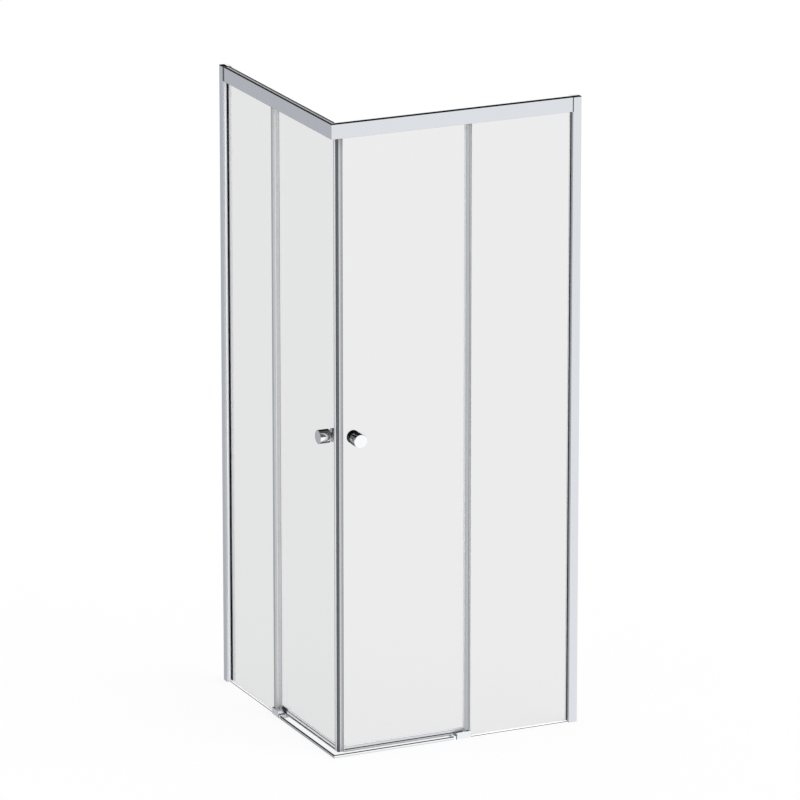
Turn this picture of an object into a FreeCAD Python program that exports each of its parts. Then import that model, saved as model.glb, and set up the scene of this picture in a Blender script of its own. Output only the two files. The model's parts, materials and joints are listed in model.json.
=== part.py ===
"""Corner-entry shower enclosure with two sliding doors.

Each side of the corner is a fixed pane, a header rail that is also the roller track, and a
door that slides behind the fixed pane towards the wall.  The two sides mirror each other
about the diagonal of the corner.

The front side is drawn in corner coordinates: X runs along the side from the outer corner
to the wall, Y runs inboard from the outer face of the header rail, Z runs up from the tray.
The origin of the finished part is the middle of its footprint, on the tray.
"""
import FreeCAD, Part

import math
import os
import re

import Sketcher

# ---------------------------------------------------------------------------
# Driving dimensions, millimetres
# ---------------------------------------------------------------------------
SIZES = [
    ("side_length", 790, "outer corner to wall, along either side"),
    ("overall_height", 1900, "tray to the top of the posts and header rails"),
    ("header_height", 44, "height of the header rail's face"),
    ("header_depth", 20, "header rail, outer face to inner wall"),
    ("header_wall", 2, "face, top and inner wall of the header rail"),
    ("header_web", 1.5, "webs inside the header rail"),
    ("header_round", 0.8, "outer edges of the header rail"),
    ("header_end_gap", 2, "header rail to wall post"),
    ("mitre_gap", 0.2, "joint line between the two header rails"),
    ("cap_groove_width", 6, "shallow groove along the header rail's top"),
    ("cap_groove_depth", 0.8, "depth of that groove"),
    ("glazing_depth", 13, "depth of the slot that holds the fixed pane"),
    ("port_radius", 3.4, "half the width of a screw port's boss"),
    ("port_bite", 0.4, "how far a screw port sinks into the wall beside it"),
    ("port_bore_radius", 1.6, "bore of a screw port"),
    ("track_depth", 6, "how far the roller track stands inboard"),
    ("track_rise", 1, "underside of the track above the header rail's bottom"),
    ("track_thickness", 1.8, "floor of the roller track"),
    ("rib_width", 1.2, "rib that the rollers run on"),
    ("lip_thickness", 1.5, "lip over the rollers that keeps them on the rib"),
    ("lip_setback", 0.7, "end of that lip inside the roller's inner face"),
    ("lip_gap", 0.6, "roller to lip"),
    ("wheel_radius", 9, "flange of a roller"),
    ("tread_radius", 7.5, "floor of a roller's groove"),
    ("tread_width", 2.2, "width of the groove's floor"),
    ("flange_width", 0.8, "rim of a roller's flange"),
    ("wheel_width", 5.4, "roller, side to side"),
    ("wheel_side_gap", 0.8, "roller to the header rail's inner wall"),
    ("wheel_rise", 16, "roller centre above the header rail's bottom"),
    ("wheel_inset", 55, "roller centre from the end of the door"),
    ("axle_radius", 2.5, "roller axle"),
    ("axle_head_radius", 4.2, "head of the axle"),
    ("axle_head_height", 1.2, "height of that head"),
    ("axle_head_sink", 0.1, "that head below the roller's outer face"),
    ("running_clearance", 0.05, "radial clearance of a roller on its axle"),
    ("rolling_gap", 0.3, "between pieces that move past each other"),
    ("hanger_radius", 9, "hanger flange and cap against the door glass"),
    ("hanger_cap_height", 6, "hanger cap inside the door glass"),
    ("hanger_rim", 1.5, "edge of the hanger's flange"),
    ("hanger_bevel", 1, "bevel of the hanger cap"),
    ("hanger_neck_radius", 5.7, "hanger where it passes through the glass"),
    ("hanger_key", 5, "hexagon key recess in the hanger cap, across flats"),
    ("hanger_key_depth", 3, "depth of that recess"),
    ("seat_clearance", 0.3, "glass to the bottom of the slot that holds it"),
    ("fit_clearance", 0.02, "radial clearance of a pin in its seat"),
    ("glass_offset", 11, "outer face of the fixed pane"),
    ("glass_thickness", 6, "fixed pane"),
    ("glass_lift", 3, "fixed pane above the tray"),
    ("glass_entry", 11, "fixed pane inside the header rail's slot"),
    ("gasket_thickness", 1, "gasket between a pane and its frame"),
    ("track_gap", 1, "roller track to the outer face of the door frame"),
    ("door_frame_depth", 11, "door frame, outer to inner face"),
    ("door_glass_thickness", 5, "door pane"),
    ("door_length", 421, "door, end to end"),
    ("door_lift", 9, "door above the tray"),
    ("door_rise", 28, "door top above the header rail's bottom"),
    ("nose_setback", 7, "door frame back from the diagonal of the corner"),
    ("stile_width", 14, "leading stile's face"),
    ("trailing_width", 9, "trailing stile's face"),
    ("stile_floor", 1.6, "web between a stile's nose and its glass slot"),
    ("trailing_floor", 3.5, "back of the trailing stile to its glass slot"),
    ("seal_inset", 1, "magnetic seal inside the stile's faces"),
    ("bottom_rail_height", 14, "door's bottom rail"),
    ("bottom_rail_floor", 5, "underside of that rail to its glass slot"),
    ("rail_line_lift", 3.5, "shaded line along the bottom rail's face, above its underside"),
    ("rail_line_width", 3, "width of that line"),
    ("face_line_depth", 0.7, "depth of the shaded lines in the door frame's face"),
    ("stile_line_inset", 6, "shaded line down the leading stile, from its glass edge"),
    ("stile_line_width", 1, "width of that line"),
    ("drip_groove_depth", 2.5, "groove under the bottom rail"),
    ("drip_thickness", 1.8, "drip seal"),
    ("drip_drop", 4, "drip seal below the bottom rail"),
    ("slot_clearance", 0.2, "drip seal in its groove, each side"),
    ("end_gap", 9, "open door's end to the wall post"),
    ("door_overlap", 25, "closed door behind the fixed pane's stile"),
    ("fixed_stile_width", 12, "stile on the fixed pane's free edge"),
    ("fixed_stile_depth", 9, "that stile, outer to inner face"),
    ("fixed_stile_floor", 2.7, "that stile's edge to its glass slot"),
    ("overlap_seal_width", 3.5, "foot of the seal behind the fixed stile"),
    ("overlap_seal_foot", 1, "thickness of that foot"),
    ("overlap_seal_fin", 1, "thickness of the fin that reaches the door glass"),
    ("seal_lift", 1, "that seal above the door's bottom rail"),
    ("seal_gap", 0.4, "fin to door glass"),
    ("post_width", 26, "wall post, face width"),
    ("post_depth", 28, "wall post, outer to inner face"),
    ("post_wall", 1.6, "wall of the post"),
    ("pocket_depth", 14, "post's pocket for the fixed pane"),
    ("pane_entry", 12, "fixed pane inside that pocket"),
    ("cap_thickness", 2, "end cap on the post"),
    ("cap_plug_depth", 8, "plug of the end cap"),
    ("channel_wall", 2, "back of the wall channel"),
    ("channel_flange", 1.6, "flanges of the wall channel"),
    ("channel_reach", 20, "wall channel, back to the ends of its flanges"),
    ("telescope_clearance", 0.4, "post flange to channel flange"),
    ("wall_hole_radius", 3, "holes for the wall screws"),
    ("wall_hole_margin", 100, "outer wall holes from either end"),
    ("wall_hole_inner", 600, "inner wall holes from either end"),
    ("post_screw_margin", 150, "outer post screws from either end"),
    ("post_screw_setback", 8, "post screws from the wall"),
    ("screw_radius", 1.8, "shank of a post screw"),
    ("screw_head_radius", 3.6, "head of a post screw"),
    ("screw_head_height", 1.8, "height of that head"),
    ("screw_length", 7, "post screw under its head"),
    ("screw_hole_clearance", 0.1, "radial clearance of a screw in its hole"),
    ("header_screw_radius", 1.55, "shank of a header screw"),
    ("header_screw_head", 2.7, "radius of a header screw's head"),
    ("header_screw_length", 19, "header screw under its head"),
    ("gasket_setback", 1, "inner end of a post gasket from the pane's edge"),
    ("bulb_width", 1.4, "gasket bulb in front of the post"),
    ("bulb_reach", 1, "how far that bulb stands out"),
    ("sill_offset", 6, "outer face of the threshold strip"),
    ("sill_width", 6, "threshold strip, outer to inner foot"),
    ("sill_height", 9.5, "threshold strip"),
    ("sill_crest", 2.4, "flat top of the threshold strip"),
    ("sill_toe", 2, "inner foot's height"),
    ("guide_offset", 5.5, "outer face of the door guide"),
    ("guide_length", 56, "door guide along the side"),
    ("guide_height", 20, "door guide"),
    ("guide_step_length", 11, "low end of the door guide"),
    ("guide_step_height", 10, "height of that low end"),
    ("guide_floor", 4, "floor under the sliding door"),
    ("guide_cheek", 3.5, "inner cheek of the guide"),
    ("guide_gap", 0.5, "door rail to each cheek"),
    ("guide_past_pane", 14, "door guide along the fixed pane's edge"),
    ("bottom_seal_height", 4.2, "seal under the fixed pane"),
    ("bottom_seal_wall", 1.2, "legs of that seal"),
    ("bumper_length", 12, "rubber stop in the track"),
    ("bumper_gap", 0.5, "roller to rubber stop at either end of its run"),
    ("knob_overhang", 6, "knob outside the header rail's face"),
    ("knob_radius", 20.5, "outer knob"),
    ("knob_length", 30, "outer knob without its neck"),
    ("knob_bevel", 1, "bevelled edges of the knobs"),
    ("knob_neck_radius", 7.5, "neck of either knob"),
    ("knob_inset", 53.5, "knob centre from the door's leading end"),
    ("knob_height", 955, "knob centre above the tray"),
    ("inner_knob_radius", 20, "inner knob"),
    ("inner_knob_length", 12, "inner knob without its neck"),
    ("inner_neck_length", 2, "neck of the inner knob"),
    ("knob_screw_radius", 3, "screw that joins the two knobs"),
    ("knob_screw_grip", 10, "that screw inside the outer knob"),
    ("knob_bore_clearance", 1, "glass hole round that screw"),
    ("washer_thickness", 1, "washers between the knobs and the glass"),
    ("washer_radius", 9, "those washers"),
    ("key_length", 60, "each arm of the corner key"),
    ("key_clearance", 0.3, "corner key to the header rail's chamber"),
    ("key_screw_radius", 2, "set screws of the corner key"),
    ("key_screw_sink", 4, "top of those screws below the top of the key"),
    ("key_screw_inset", 40, "those screws from the corner"),
]

# Places and sizes that follow from the driving dimensions, in the order they build on each other.
PLACES = {
    "header_base": "overall_height - header_height",
    "header_end": "side_length - post_width - header_end_gap",
    "slot_outer": "glass_offset - gasket_thickness",
    "slot_inner": "glass_offset + glass_thickness + gasket_thickness",
    "glass_back": "glass_offset + glass_thickness",
    "inner_wall": "header_depth - header_wall",
    "track_end": "header_depth + track_depth",
    "track_floor": "header_base + track_rise + track_thickness",
    "wheel_level": "header_base + wheel_rise",
    "rib_top": "wheel_level - tread_radius - rolling_gap",
    "lip_base": "wheel_level + wheel_radius + lip_gap",
    "wheel_centre": "header_depth + wheel_side_gap + wheel_width / 2",
    "lip_end": "wheel_centre + wheel_width / 2 - lip_setback",
    "port_offset": "header_wall + port_radius - port_bite",
    "port_upper": "overall_height - header_wall - port_radius + port_bite",
    "port_lower": "header_base + glazing_depth + header_web + port_radius - port_bite",
    "chamber_base": "header_base + glazing_depth + header_web",
    "door_offset": "track_end + track_gap",
    "door_back": "door_offset + door_frame_depth",
    "door_glass_front": "door_offset + (door_frame_depth - door_glass_thickness) / 2",
    "door_glass_back": "door_glass_front + door_glass_thickness",
    "glass_slot_front": "door_glass_front - seat_clearance",
    "glass_slot_back": "door_glass_back + seat_clearance",
    "door_start": "door_offset + nose_setback",
    "door_end": "door_start + door_length",
    "door_top": "header_base + door_rise",
    "stile_slot": "glass_slot_back + nose_setback + stile_floor",
    "stile_back": "door_start + stile_width",
    "trailing_start": "door_end - trailing_width",
    "trailing_slot": "door_end - trailing_floor",
    "lead_wheel": "door_start + wheel_inset",
    "trail_wheel": "door_end - wheel_inset",
    "door_travel": "side_length - post_width - end_gap - door_end",
    "knob_centre": "door_start + knob_inset",
    "fixed_stile_start": "door_end - door_overlap",
    "fixed_stile_slot": "fixed_stile_start + fixed_stile_floor",
    "pane_start": "fixed_stile_slot + seat_clearance",
    "post_face": "side_length - post_width",
    "post_inner": "post_depth - post_wall",
    "pane_end": "post_face + pane_entry",
    "fixed_stile_front": "glass_offset + (glass_thickness - fixed_stile_depth) / 2",
    "fixed_stile_back": "fixed_stile_front + fixed_stile_depth",
    "post_top": "overall_height - cap_thickness",
    "channel_front": "post_wall + telescope_clearance",
    "channel_back": "post_depth - post_wall - telescope_clearance",
    "guide_end": "pane_start + guide_past_pane",
    "guide_start": "guide_end - guide_length",
    "cheek_front": "door_offset - guide_gap",
    "cheek_back": "door_back + guide_gap",
    "knob_back": "knob_length - knob_overhang",
}

doc = FreeCAD.newDocument("shower_enclosure")
sheet = doc.addObject("Spreadsheet::Sheet", "Sizes")
sub_parts = []


def fill_sheet():
    """Write every driving dimension to its own cell, under its own name."""
    for row, (alias, value, note) in enumerate(SIZES, start=1):
        sheet.set(f"A{row}", str(value))
        sheet.setAlias(f"A{row}", alias)
        sheet.set(f"B{row}", note)
    doc.recompute()


def link(text):
    """Turn a formula in plain names into one that reads the sheet."""
    text = str(text)
    known = {alias for alias, _, _ in SIZES}

    def swap(match):
        word = match.group(0)
        if word in PLACES:
            return "(" + link(PLACES[word]) + ")"
        if word in known:
            return "Sizes." + word
        return word

    return re.sub(r"(?<![\w.])[a-z][a-z_]+", swap, text)


def value(text):
    """The present value of a formula, as a plain number."""
    return float(sheet.evalExpression(link(text)))


def bind(thing, target, text):
    """Bind a property, or a sketch constraint, to a formula."""
    thing.setExpression(target, link(text))


# ---------------------------------------------------------------------------
# Bodies, outlines and features
# ---------------------------------------------------------------------------
def place(thing, along="0", inboard="0", up="0"):
    """Put a piece at a point given in corner coordinates."""
    middle = "(side_length - knob_overhang) / 2"
    bind(thing, "Placement.Base.x", f"{along} - {middle}")
    bind(thing, "Placement.Base.y", f"{inboard} - {middle}")
    bind(thing, "Placement.Base.z", up)


def new_body(label, along="0", inboard="0", up="0"):
    """An empty body with its own label and place."""
    body = doc.addObject("PartDesign::Body", label)
    body.Label = label
    place(body, along, inboard, up)
    return body


def origin_plane(body, role):
    """One of the body's own reference planes."""
    for feature in body.Origin.OriginFeatures:
        if feature.Role == role:
            return feature
    raise ValueError(f"no plane {role}")


def corner_points(outline):
    """Swap each rounded corner of an outline for the two ends and the radius of its arc."""
    runs = []
    count = len(outline)
    for index, corner in enumerate(outline):
        across, up = corner[0], corner[1]
        if len(corner) == 2:
            runs.append([(across, up)])
            continue
        radius = corner[2]
        here = (value(across), value(up))
        ends = []
        for other in (outline[index - 1], outline[(index + 1) % count]):
            step = (value(other[0]) - here[0], value(other[1]) - here[1])
            size = (step[0] ** 2 + step[1] ** 2) ** 0.5
            unit = (round(step[0] / size, 9), round(step[1] / size, 9))
            ends.append((f"{across} + {radius} * ({unit[0]})", f"{up} + {radius} * ({unit[1]})"))
        runs.append([ends[0], ends[1], radius])
    return runs


def add_loop(sketch, outline):
    """Draw a closed outline whose every point is bound to its formulas."""
    runs = corner_points(outline)
    first_ends = []
    for run in runs:
        if len(run) == 3:
            start, end, radius = run
            begin = FreeCAD.Vector(value(start[0]), value(start[1]), 0)
            finish = FreeCAD.Vector(value(end[0]), value(end[1]), 0)
            corner = outline[runs.index(run)]
            centre = begin + finish - FreeCAD.Vector(value(corner[0]), value(corner[1]), 0)
            left_turn = (begin - centre).cross(finish - centre).z > 0
            first, last = (begin, finish) if left_turn else (finish, begin)
            open_angle = math.atan2(first.y - centre.y, first.x - centre.x)
            close_angle = math.atan2(last.y - centre.y, last.x - centre.x)
            if close_angle < open_angle:
                close_angle += 2 * math.pi
            circle = Part.Circle(centre, FreeCAD.Vector(0, 0, 1), value(radius))
            arc = sketch.addGeometry(Part.ArcOfCircle(circle, open_angle, close_angle), False)
            pin_point(sketch, arc, 1 if left_turn else 2, start)
            pin_point(sketch, arc, 2 if left_turn else 1, end)
            number = sketch.addConstraint(Sketcher.Constraint("Radius", arc, value(radius)))
            bind(sketch, f"Constraints[{number}]", radius)
            first_ends.append((start, end))
        else:
            first_ends.append((run[0], run[0]))
    for index, ends in enumerate(first_ends):
        start = ends[1]
        end = first_ends[(index + 1) % len(first_ends)][0]
        begin = FreeCAD.Vector(value(start[0]), value(start[1]), 0)
        finish = FreeCAD.Vector(value(end[0]), value(end[1]), 0)
        line = sketch.addGeometry(Part.LineSegment(begin, finish), False)
        pin_point(sketch, line, 1, start)
        pin_point(sketch, line, 2, end)


def pin_point(sketch, geometry, vertex, point):
    """Hold one end of a line or arc at a point given by two formulas."""
    for kind, text in zip(("DistanceX", "DistanceY"), point):
        rule = Sketcher.Constraint(kind, -1, 1, geometry, vertex, value(text))
        bind(sketch, f"Constraints[{sketch.addConstraint(rule)}]", text)


def add_circle(sketch, across, up, radius):
    """Draw a circle whose centre and radius are bound to formulas."""
    centre = FreeCAD.Vector(value(across), value(up), 0)
    normal = FreeCAD.Vector(0, 0, 1)
    circle = sketch.addGeometry(Part.Circle(centre, normal, value(radius)), False)
    pin_point(sketch, circle, 3, (across, up))
    number = sketch.addConstraint(Sketcher.Constraint("Radius", circle, value(radius)))
    bind(sketch, f"Constraints[{number}]", radius)


def new_sketch(body, name, role, start, loops=(), circles=()):
    """A sketch on one of the body's planes, moved along that plane's normal to start."""
    sketch = body.newObject("Sketcher::SketchObject", name)
    sketch.AttachmentSupport = [(origin_plane(body, role), "")]
    sketch.MapMode = "FlatFace"
    sign = "-" if role == "XZ_Plane" else ""
    bind(sketch, "AttachmentOffset.Base.z", f"{sign}({start})")
    for outline in loops:
        add_loop(sketch, outline)
    for circle in circles:
        add_circle(sketch, *circle)
    return sketch


def pad(body, name, role, start, length, loops=(), circles=()):
    """Add material from start, over length, along the plane's positive axis."""
    sketch = new_sketch(body, name + "_outline", role, start, loops, circles)
    feature = body.newObject("PartDesign::Pad", name)
    feature.Profile = sketch
    feature.Reversed = role == "XZ_Plane"
    bind(feature, "Length", length)
    doc.recompute()
    return feature


def pocket(body, name, role, start, length, loops=(), circles=()):
    """Cut from start, over length, along the plane's positive axis."""
    before = body.Shape.Volume
    sketch = new_sketch(body, name + "_outline", role, start, loops, circles)
    feature = body.newObject("PartDesign::Pocket", name)
    feature.Profile = sketch
    feature.Reversed = role != "XZ_Plane"
    bind(feature, "Length", length)
    doc.recompute()
    if body.Shape.Volume >= before - 1e-6:
        raise ValueError(f"{name} cuts nothing")
    return feature


def revolve(body, name, outline):
    """Turn an outline of (radius, inboard) points once about the body's own Y axis."""
    sketch = new_sketch(body, name + "_outline", "XY_Plane", "0", [outline])
    feature = body.newObject("PartDesign::Revolution", name)
    feature.Profile = sketch
    feature.ReferenceAxis = (sketch, ["V_Axis"])
    feature.Angle = 360
    doc.recompute()
    return feature


def box_outline(low_across, high_across, low_up, high_up):
    """A plain rectangle."""
    return [
        (low_across, low_up),
        (high_across, low_up),
        (high_across, high_up),
        (low_across, high_up),
    ]


def group(label, members):
    """Several loose pieces of one kind that share a node."""
    bundle = doc.addObject("Part::Compound", label)
    bundle.Label = label
    bundle.Links = members
    doc.recompute()
    return bundle


def keep(name, piece):
    """List a front piece for export, with its mirror image about the corner's diagonal."""
    piece.Label = "front_" + name
    twin = doc.addObject("Part::Mirroring", "left_" + name)
    twin.Label = "left_" + name
    twin.Source = piece
    twin.Base = FreeCAD.Vector(0, 0, 0)
    twin.Normal = FreeCAD.Vector(1, -1, 0)
    sub_parts.extend([piece, twin])


# ---------------------------------------------------------------------------
# Header rail: face, glazing slot, chamber with screw ports, and the roller track
# ---------------------------------------------------------------------------
def header_rail():
    body = new_body("front_header_rail")
    groove_front = "(header_depth - cap_groove_width) / 2"
    groove_back = "(header_depth + cap_groove_width) / 2"
    groove_floor = "overall_height - cap_groove_depth"
    rib_front = "wheel_centre - rib_width / 2"
    rib_back = "wheel_centre + rib_width / 2"
    outer = [
        ("0", "header_base", "header_round"),
        ("0", "overall_height", "header_round"),
        (groove_front, "overall_height"),
        (groove_front, groove_floor),
        (groove_back, groove_floor),
        (groove_back, "overall_height"),
        ("header_depth", "overall_height", "header_round"),
        ("header_depth", "lip_base + lip_thickness"),
        ("lip_end", "lip_base + lip_thickness"),
        ("lip_end", "lip_base"),
        ("header_depth", "lip_base"),
        ("header_depth", "track_floor"),
        (rib_front, "track_floor"),
        (rib_front, "rib_top", "rib_width / 3"),
        (rib_back, "rib_top", "rib_width / 3"),
        (rib_back, "track_floor"),
        ("track_end", "track_floor"),
        ("track_end", "track_floor - track_thickness"),
        ("header_depth", "track_floor - track_thickness"),
        ("header_depth", "header_base"),
        ("slot_inner", "header_base"),
        ("slot_inner", "header_base + glazing_depth"),
        ("slot_outer", "header_base + glazing_depth"),
        ("slot_outer", "header_base"),
    ]
    lower_chamber = box_outline(
        "header_wall", "slot_outer - header_web", "header_base + header_web", "header_base + glazing_depth"
    )
    upper_chamber = box_outline(
        "header_wall", "inner_wall", "chamber_base", "overall_height - header_wall"
    )
    loops = [outer, lower_chamber, upper_chamber]
    pad(body, "header_section", "YZ_Plane", "0", "header_end", loops)
    port_front = "port_offset - port_radius"
    port_back = "port_offset + port_radius"
    bosses = [
        box_outline(port_front, port_back, f"{level} - port_radius", f"{level} + port_radius")
        for level in ("port_upper", "port_lower")
    ]
    pad(body, "header_ports", "YZ_Plane", "0", "header_end", bosses)
    bores = [("port_offset", level, "port_bore_radius") for level in ("port_upper", "port_lower")]
    pocket(body, "port_bores", "YZ_Plane", "0", "header_end", circles=bores)
    reach = "track_end + 1"
    corner = [
        ("-1", "-1 - mitre_gap / 2"),
        (reach, f"{reach} - mitre_gap / 2"),
        ("-1", f"{reach} - mitre_gap / 2"),
    ]
    pocket(body, "header_mitre", "XY_Plane", "header_base - 1", "header_height + 2", [corner])
    keep("header_rail", body)


def corner_key():
    """The angle that slides into both header rails and pulls the mitre together."""
    body = new_body("corner_key")
    front = "port_offset + port_radius + key_clearance"
    back = "inner_wall - key_clearance"
    arms = [
        (front, front),
        ("key_length", front),
        ("key_length", back),
        (back, back),
        (back, "key_length"),
        (front, "key_length"),
    ]
    base = "chamber_base + key_clearance"
    tall = "header_height - glazing_depth - header_web - header_wall - 2 * key_clearance"
    pad(body, "key_arms", "XY_Plane", base, tall, [arms])
    bore = "key_screw_radius + fit_clearance"
    middle = "(port_offset + port_radius + inner_wall) / 2"
    holes = [("key_screw_inset", middle, bore), (middle, "key_screw_inset", bore)]
    pocket(body, "key_screw_bores", "XY_Plane", base, tall, circles=holes)
    sub_parts.append(body)


def corner_key_screws():
    """A set screw in each arm, turned against the chamber's floor."""
    base = "chamber_base"
    tall = "header_height - glazing_depth - header_web - header_wall - 2 * key_clearance - key_screw_sink"
    middle = "(port_offset + port_radius + inner_wall) / 2"
    screws = []
    for name, along, inboard in (
        ("key_screw_front", "key_screw_inset", middle),
        ("key_screw_left", middle, "key_screw_inset"),
    ):
        body = new_body(name, along, inboard, base)
        pad(body, name + "_shank", "XY_Plane", "0", tall, circles=[("0", "0", "key_screw_radius")])
        screws.append(body)
    sub_parts.append(group("corner_key_screws", screws))


def stop_bumpers():
    """Rubber stops in the track, one at each end of the rollers' run."""
    closed_end = "lead_wheel - wheel_radius - bumper_gap - bumper_length"
    open_end = "trail_wheel + door_travel + wheel_radius + bumper_gap"
    stops = []
    for name, start in (("bumper_closed", closed_end), ("bumper_open", open_end)):
        body = new_body(name)
        outline = box_outline("header_depth", "lip_end", "rib_top", "lip_base")
        pad(body, name + "_block", "YZ_Plane", start, "bumper_length", [outline])
        stops.append(body)
    keep("stop_bumpers", group("front_stop_bumpers", stops))


# ---------------------------------------------------------------------------
# Wall side: channel, post, cap, gaskets and screws
# ---------------------------------------------------------------------------
def wall_channel():
    body = new_body("front_wall_channel")
    reach = "side_length - channel_reach"
    back = "side_length - channel_wall"
    section = [
        (reach, "channel_front"),
        ("side_length", "channel_front"),
        ("side_length", "channel_back"),
        (reach, "channel_back"),
        (reach, "channel_back - channel_flange"),
        (back, "channel_back - channel_flange"),
        (back, "channel_front + channel_flange"),
        (reach, "channel_front + channel_flange"),
    ]
    pad(body, "channel_section", "XY_Plane", "0", "post_top", [section])
    middle = "(channel_front + channel_back) / 2"
    levels = ("wall_hole_margin", "wall_hole_inner", "overall_height - wall_hole_inner",
              "overall_height - wall_hole_margin")
    holes = [(middle, level, "wall_hole_radius") for level in levels]
    pocket(body, "wall_holes", "YZ_Plane", back + " - 1", "channel_wall + 2", circles=holes)
    shank = "screw_radius + screw_hole_clearance"
    drills = [("side_length - post_screw_setback", level, shank) for level in post_screw_levels()]
    pocket(body, "post_screw_holes", "XZ_Plane", "channel_back - channel_flange - 1",
           "channel_flange + 2", circles=drills)
    keep("wall_channel", body)


def post_screw_levels():
    """Heights of the screws that hold a post to its wall channel."""
    return ("post_screw_margin", "overall_height / 2", "overall_height - post_screw_margin")


def wall_post():
    body = new_body("front_wall_post")
    pocket_floor = "post_face + pocket_depth"
    front_web = "post_face + post_wall"
    section = [
        ("post_face", "0", "post_wall / 2"),
        ("side_length", "0"),
        ("side_length", "post_wall"),
        (front_web, "post_wall"),
        (front_web, "slot_outer - post_wall"),
        (pocket_floor + " + post_wall", "slot_outer - post_wall"),
        (pocket_floor + " + post_wall", "slot_inner + post_wall"),
        (front_web, "slot_inner + post_wall"),
        (front_web, "post_inner"),
        ("side_length", "post_inner"),
        ("side_length", "post_depth"),
        ("post_face", "post_depth", "post_wall / 2"),
        ("post_face", "slot_inner"),
        (pocket_floor, "slot_inner"),
        (pocket_floor, "slot_outer"),
        ("post_face", "slot_outer"),
    ]
    pad(body, "post_section", "XY_Plane", "0", "post_top", [section])
    shank = "screw_radius + screw_hole_clearance"
    drills = [("side_length - post_screw_setback", level, shank) for level in post_screw_levels()]
    pocket(body, "post_screw_holes", "XZ_Plane", "post_inner - 0.2", "post_wall + 1", circles=drills)
    port = "header_screw_radius + screw_hole_clearance"
    header_holes = [("port_offset", level, port) for level in ("port_upper", "port_lower")]
    pocket(body, "header_screw_holes", "YZ_Plane", "post_face - 1", "post_wall + 2", circles=header_holes)
    keep("wall_post", body)


def post_cap():
    body = new_body("front_post_cap")
    plate = [
        ("post_face", "0", "post_wall / 2"),
        ("side_length", "0"),
        ("side_length", "post_depth"),
        ("post_face", "post_depth", "post_wall / 2"),
    ]
    pad(body, "cap_plate", "XY_Plane", "post_top", "cap_thickness", [plate])
    plug = box_outline(
        "post_face + post_wall + seat_clearance",
        "side_length - channel_reach - seat_clearance",
        "slot_inner + post_wall + seat_clearance",
        "post_inner - seat_clearance",
    )
    pad(body, "cap_plug", "XY_Plane", "post_top - cap_plug_depth", "cap_plug_depth", [plug])
    keep("post_cap", body)


def post_gaskets():
    """The wedge strips that hold the fixed pane in the post, each with a bulb in front."""
    strips = []
    bulb = "post_face - bulb_reach"
    inside = "post_face + pane_entry - gasket_setback"
    sides = (
        ("outer_gasket", "glass_offset", "slot_outer", "glass_offset - bulb_width"),
        ("inner_gasket", "glass_back", "slot_inner", "glass_back + bulb_width / 2"),
    )
    for name, glass_face, slot_face, bulb_edge in sides:
        body = new_body(name)
        section = [
            (bulb, glass_face),
            (inside, glass_face),
            (inside, slot_face),
            ("post_face", slot_face),
            ("post_face", bulb_edge),
            (bulb, bulb_edge),
        ]
        pad(body, name + "_strip", "XY_Plane", "glass_lift", "header_base - glass_lift", [section])
        strips.append(body)
    keep("post_gaskets", group("front_post_gaskets", strips))


def frame_screws():
    """Three screws from post to wall channel, and two from post to header rail."""
    screws = []
    for index, level in enumerate(post_screw_levels()):
        name = f"post_screw_{index + 1}"
        body = new_body(name, "side_length - post_screw_setback", "post_depth", level)
        revolve(body, name + "_turning", [
            ("0", "-screw_length"),
            ("screw_radius", "-screw_length"),
            ("screw_radius", "0"),
            ("screw_head_radius", "0"),
            ("screw_head_radius / 2", "screw_head_height"),
            ("0", "screw_head_height"),
        ])
        screws.append(body)
    for index, level in enumerate(("port_upper", "port_lower")):
        name = f"header_screw_{index + 1}"
        body = new_body(name)
        head = [("port_offset", level, "header_screw_head")]
        shank = [("port_offset", level, "header_screw_radius")]
        seat = "post_face + post_wall"
        pad(body, name + "_head", "YZ_Plane", seat, "screw_head_height", circles=head)
        pad(body, name + "_shank", "YZ_Plane", f"{seat} - header_screw_length", "header_screw_length",
            circles=shank)
        screws.append(body)
    keep("frame_screws", group("front_frame_screws", screws))


# ---------------------------------------------------------------------------
# Fixed pane and what holds its edges
# ---------------------------------------------------------------------------
def fixed_glass():
    body = new_body("front_fixed_glass")
    pane = box_outline("pane_start", "pane_end", "glass_lift", "header_base + glass_entry")
    pad(body, "fixed_pane", "XZ_Plane", "glass_offset", "glass_thickness", [pane])
    keep("fixed_glass", body)


def header_gasket():
    """The channel strip over the fixed pane's top edge."""
    body = new_body("front_header_gasket")
    top = "header_base + glass_entry"
    section = [
        ("slot_outer", "header_base"),
        ("slot_outer", f"{top} + gasket_thickness"),
        ("slot_inner", f"{top} + gasket_thickness"),
        ("slot_inner", "header_base"),
        ("glass_back", "header_base"),
        ("glass_back", top),
        ("glass_offset", top),
        ("glass_offset", "header_base"),
    ]
    pad(body, "gasket_section", "YZ_Plane", "pane_start", "header_end - pane_start", [section])
    keep("header_gasket", body)


def fixed_stile():
    body = new_body("front_fixed_stile")
    front = "fixed_stile_front"
    back = "fixed_stile_back"
    end = "fixed_stile_start + fixed_stile_width"
    section = [
        ("fixed_stile_start", front, "header_round"),
        (end, front),
        (end, "glass_offset - seat_clearance"),
        ("fixed_stile_slot", "glass_offset - seat_clearance"),
        ("fixed_stile_slot", "glass_back + seat_clearance"),
        (end, "glass_back + seat_clearance"),
        (end, back),
        ("fixed_stile_start", back, "header_round"),
    ]
    pad(body, "fixed_stile_section", "XY_Plane", "guide_height", "header_base - guide_height", [section])
    keep("fixed_stile", body)


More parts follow.
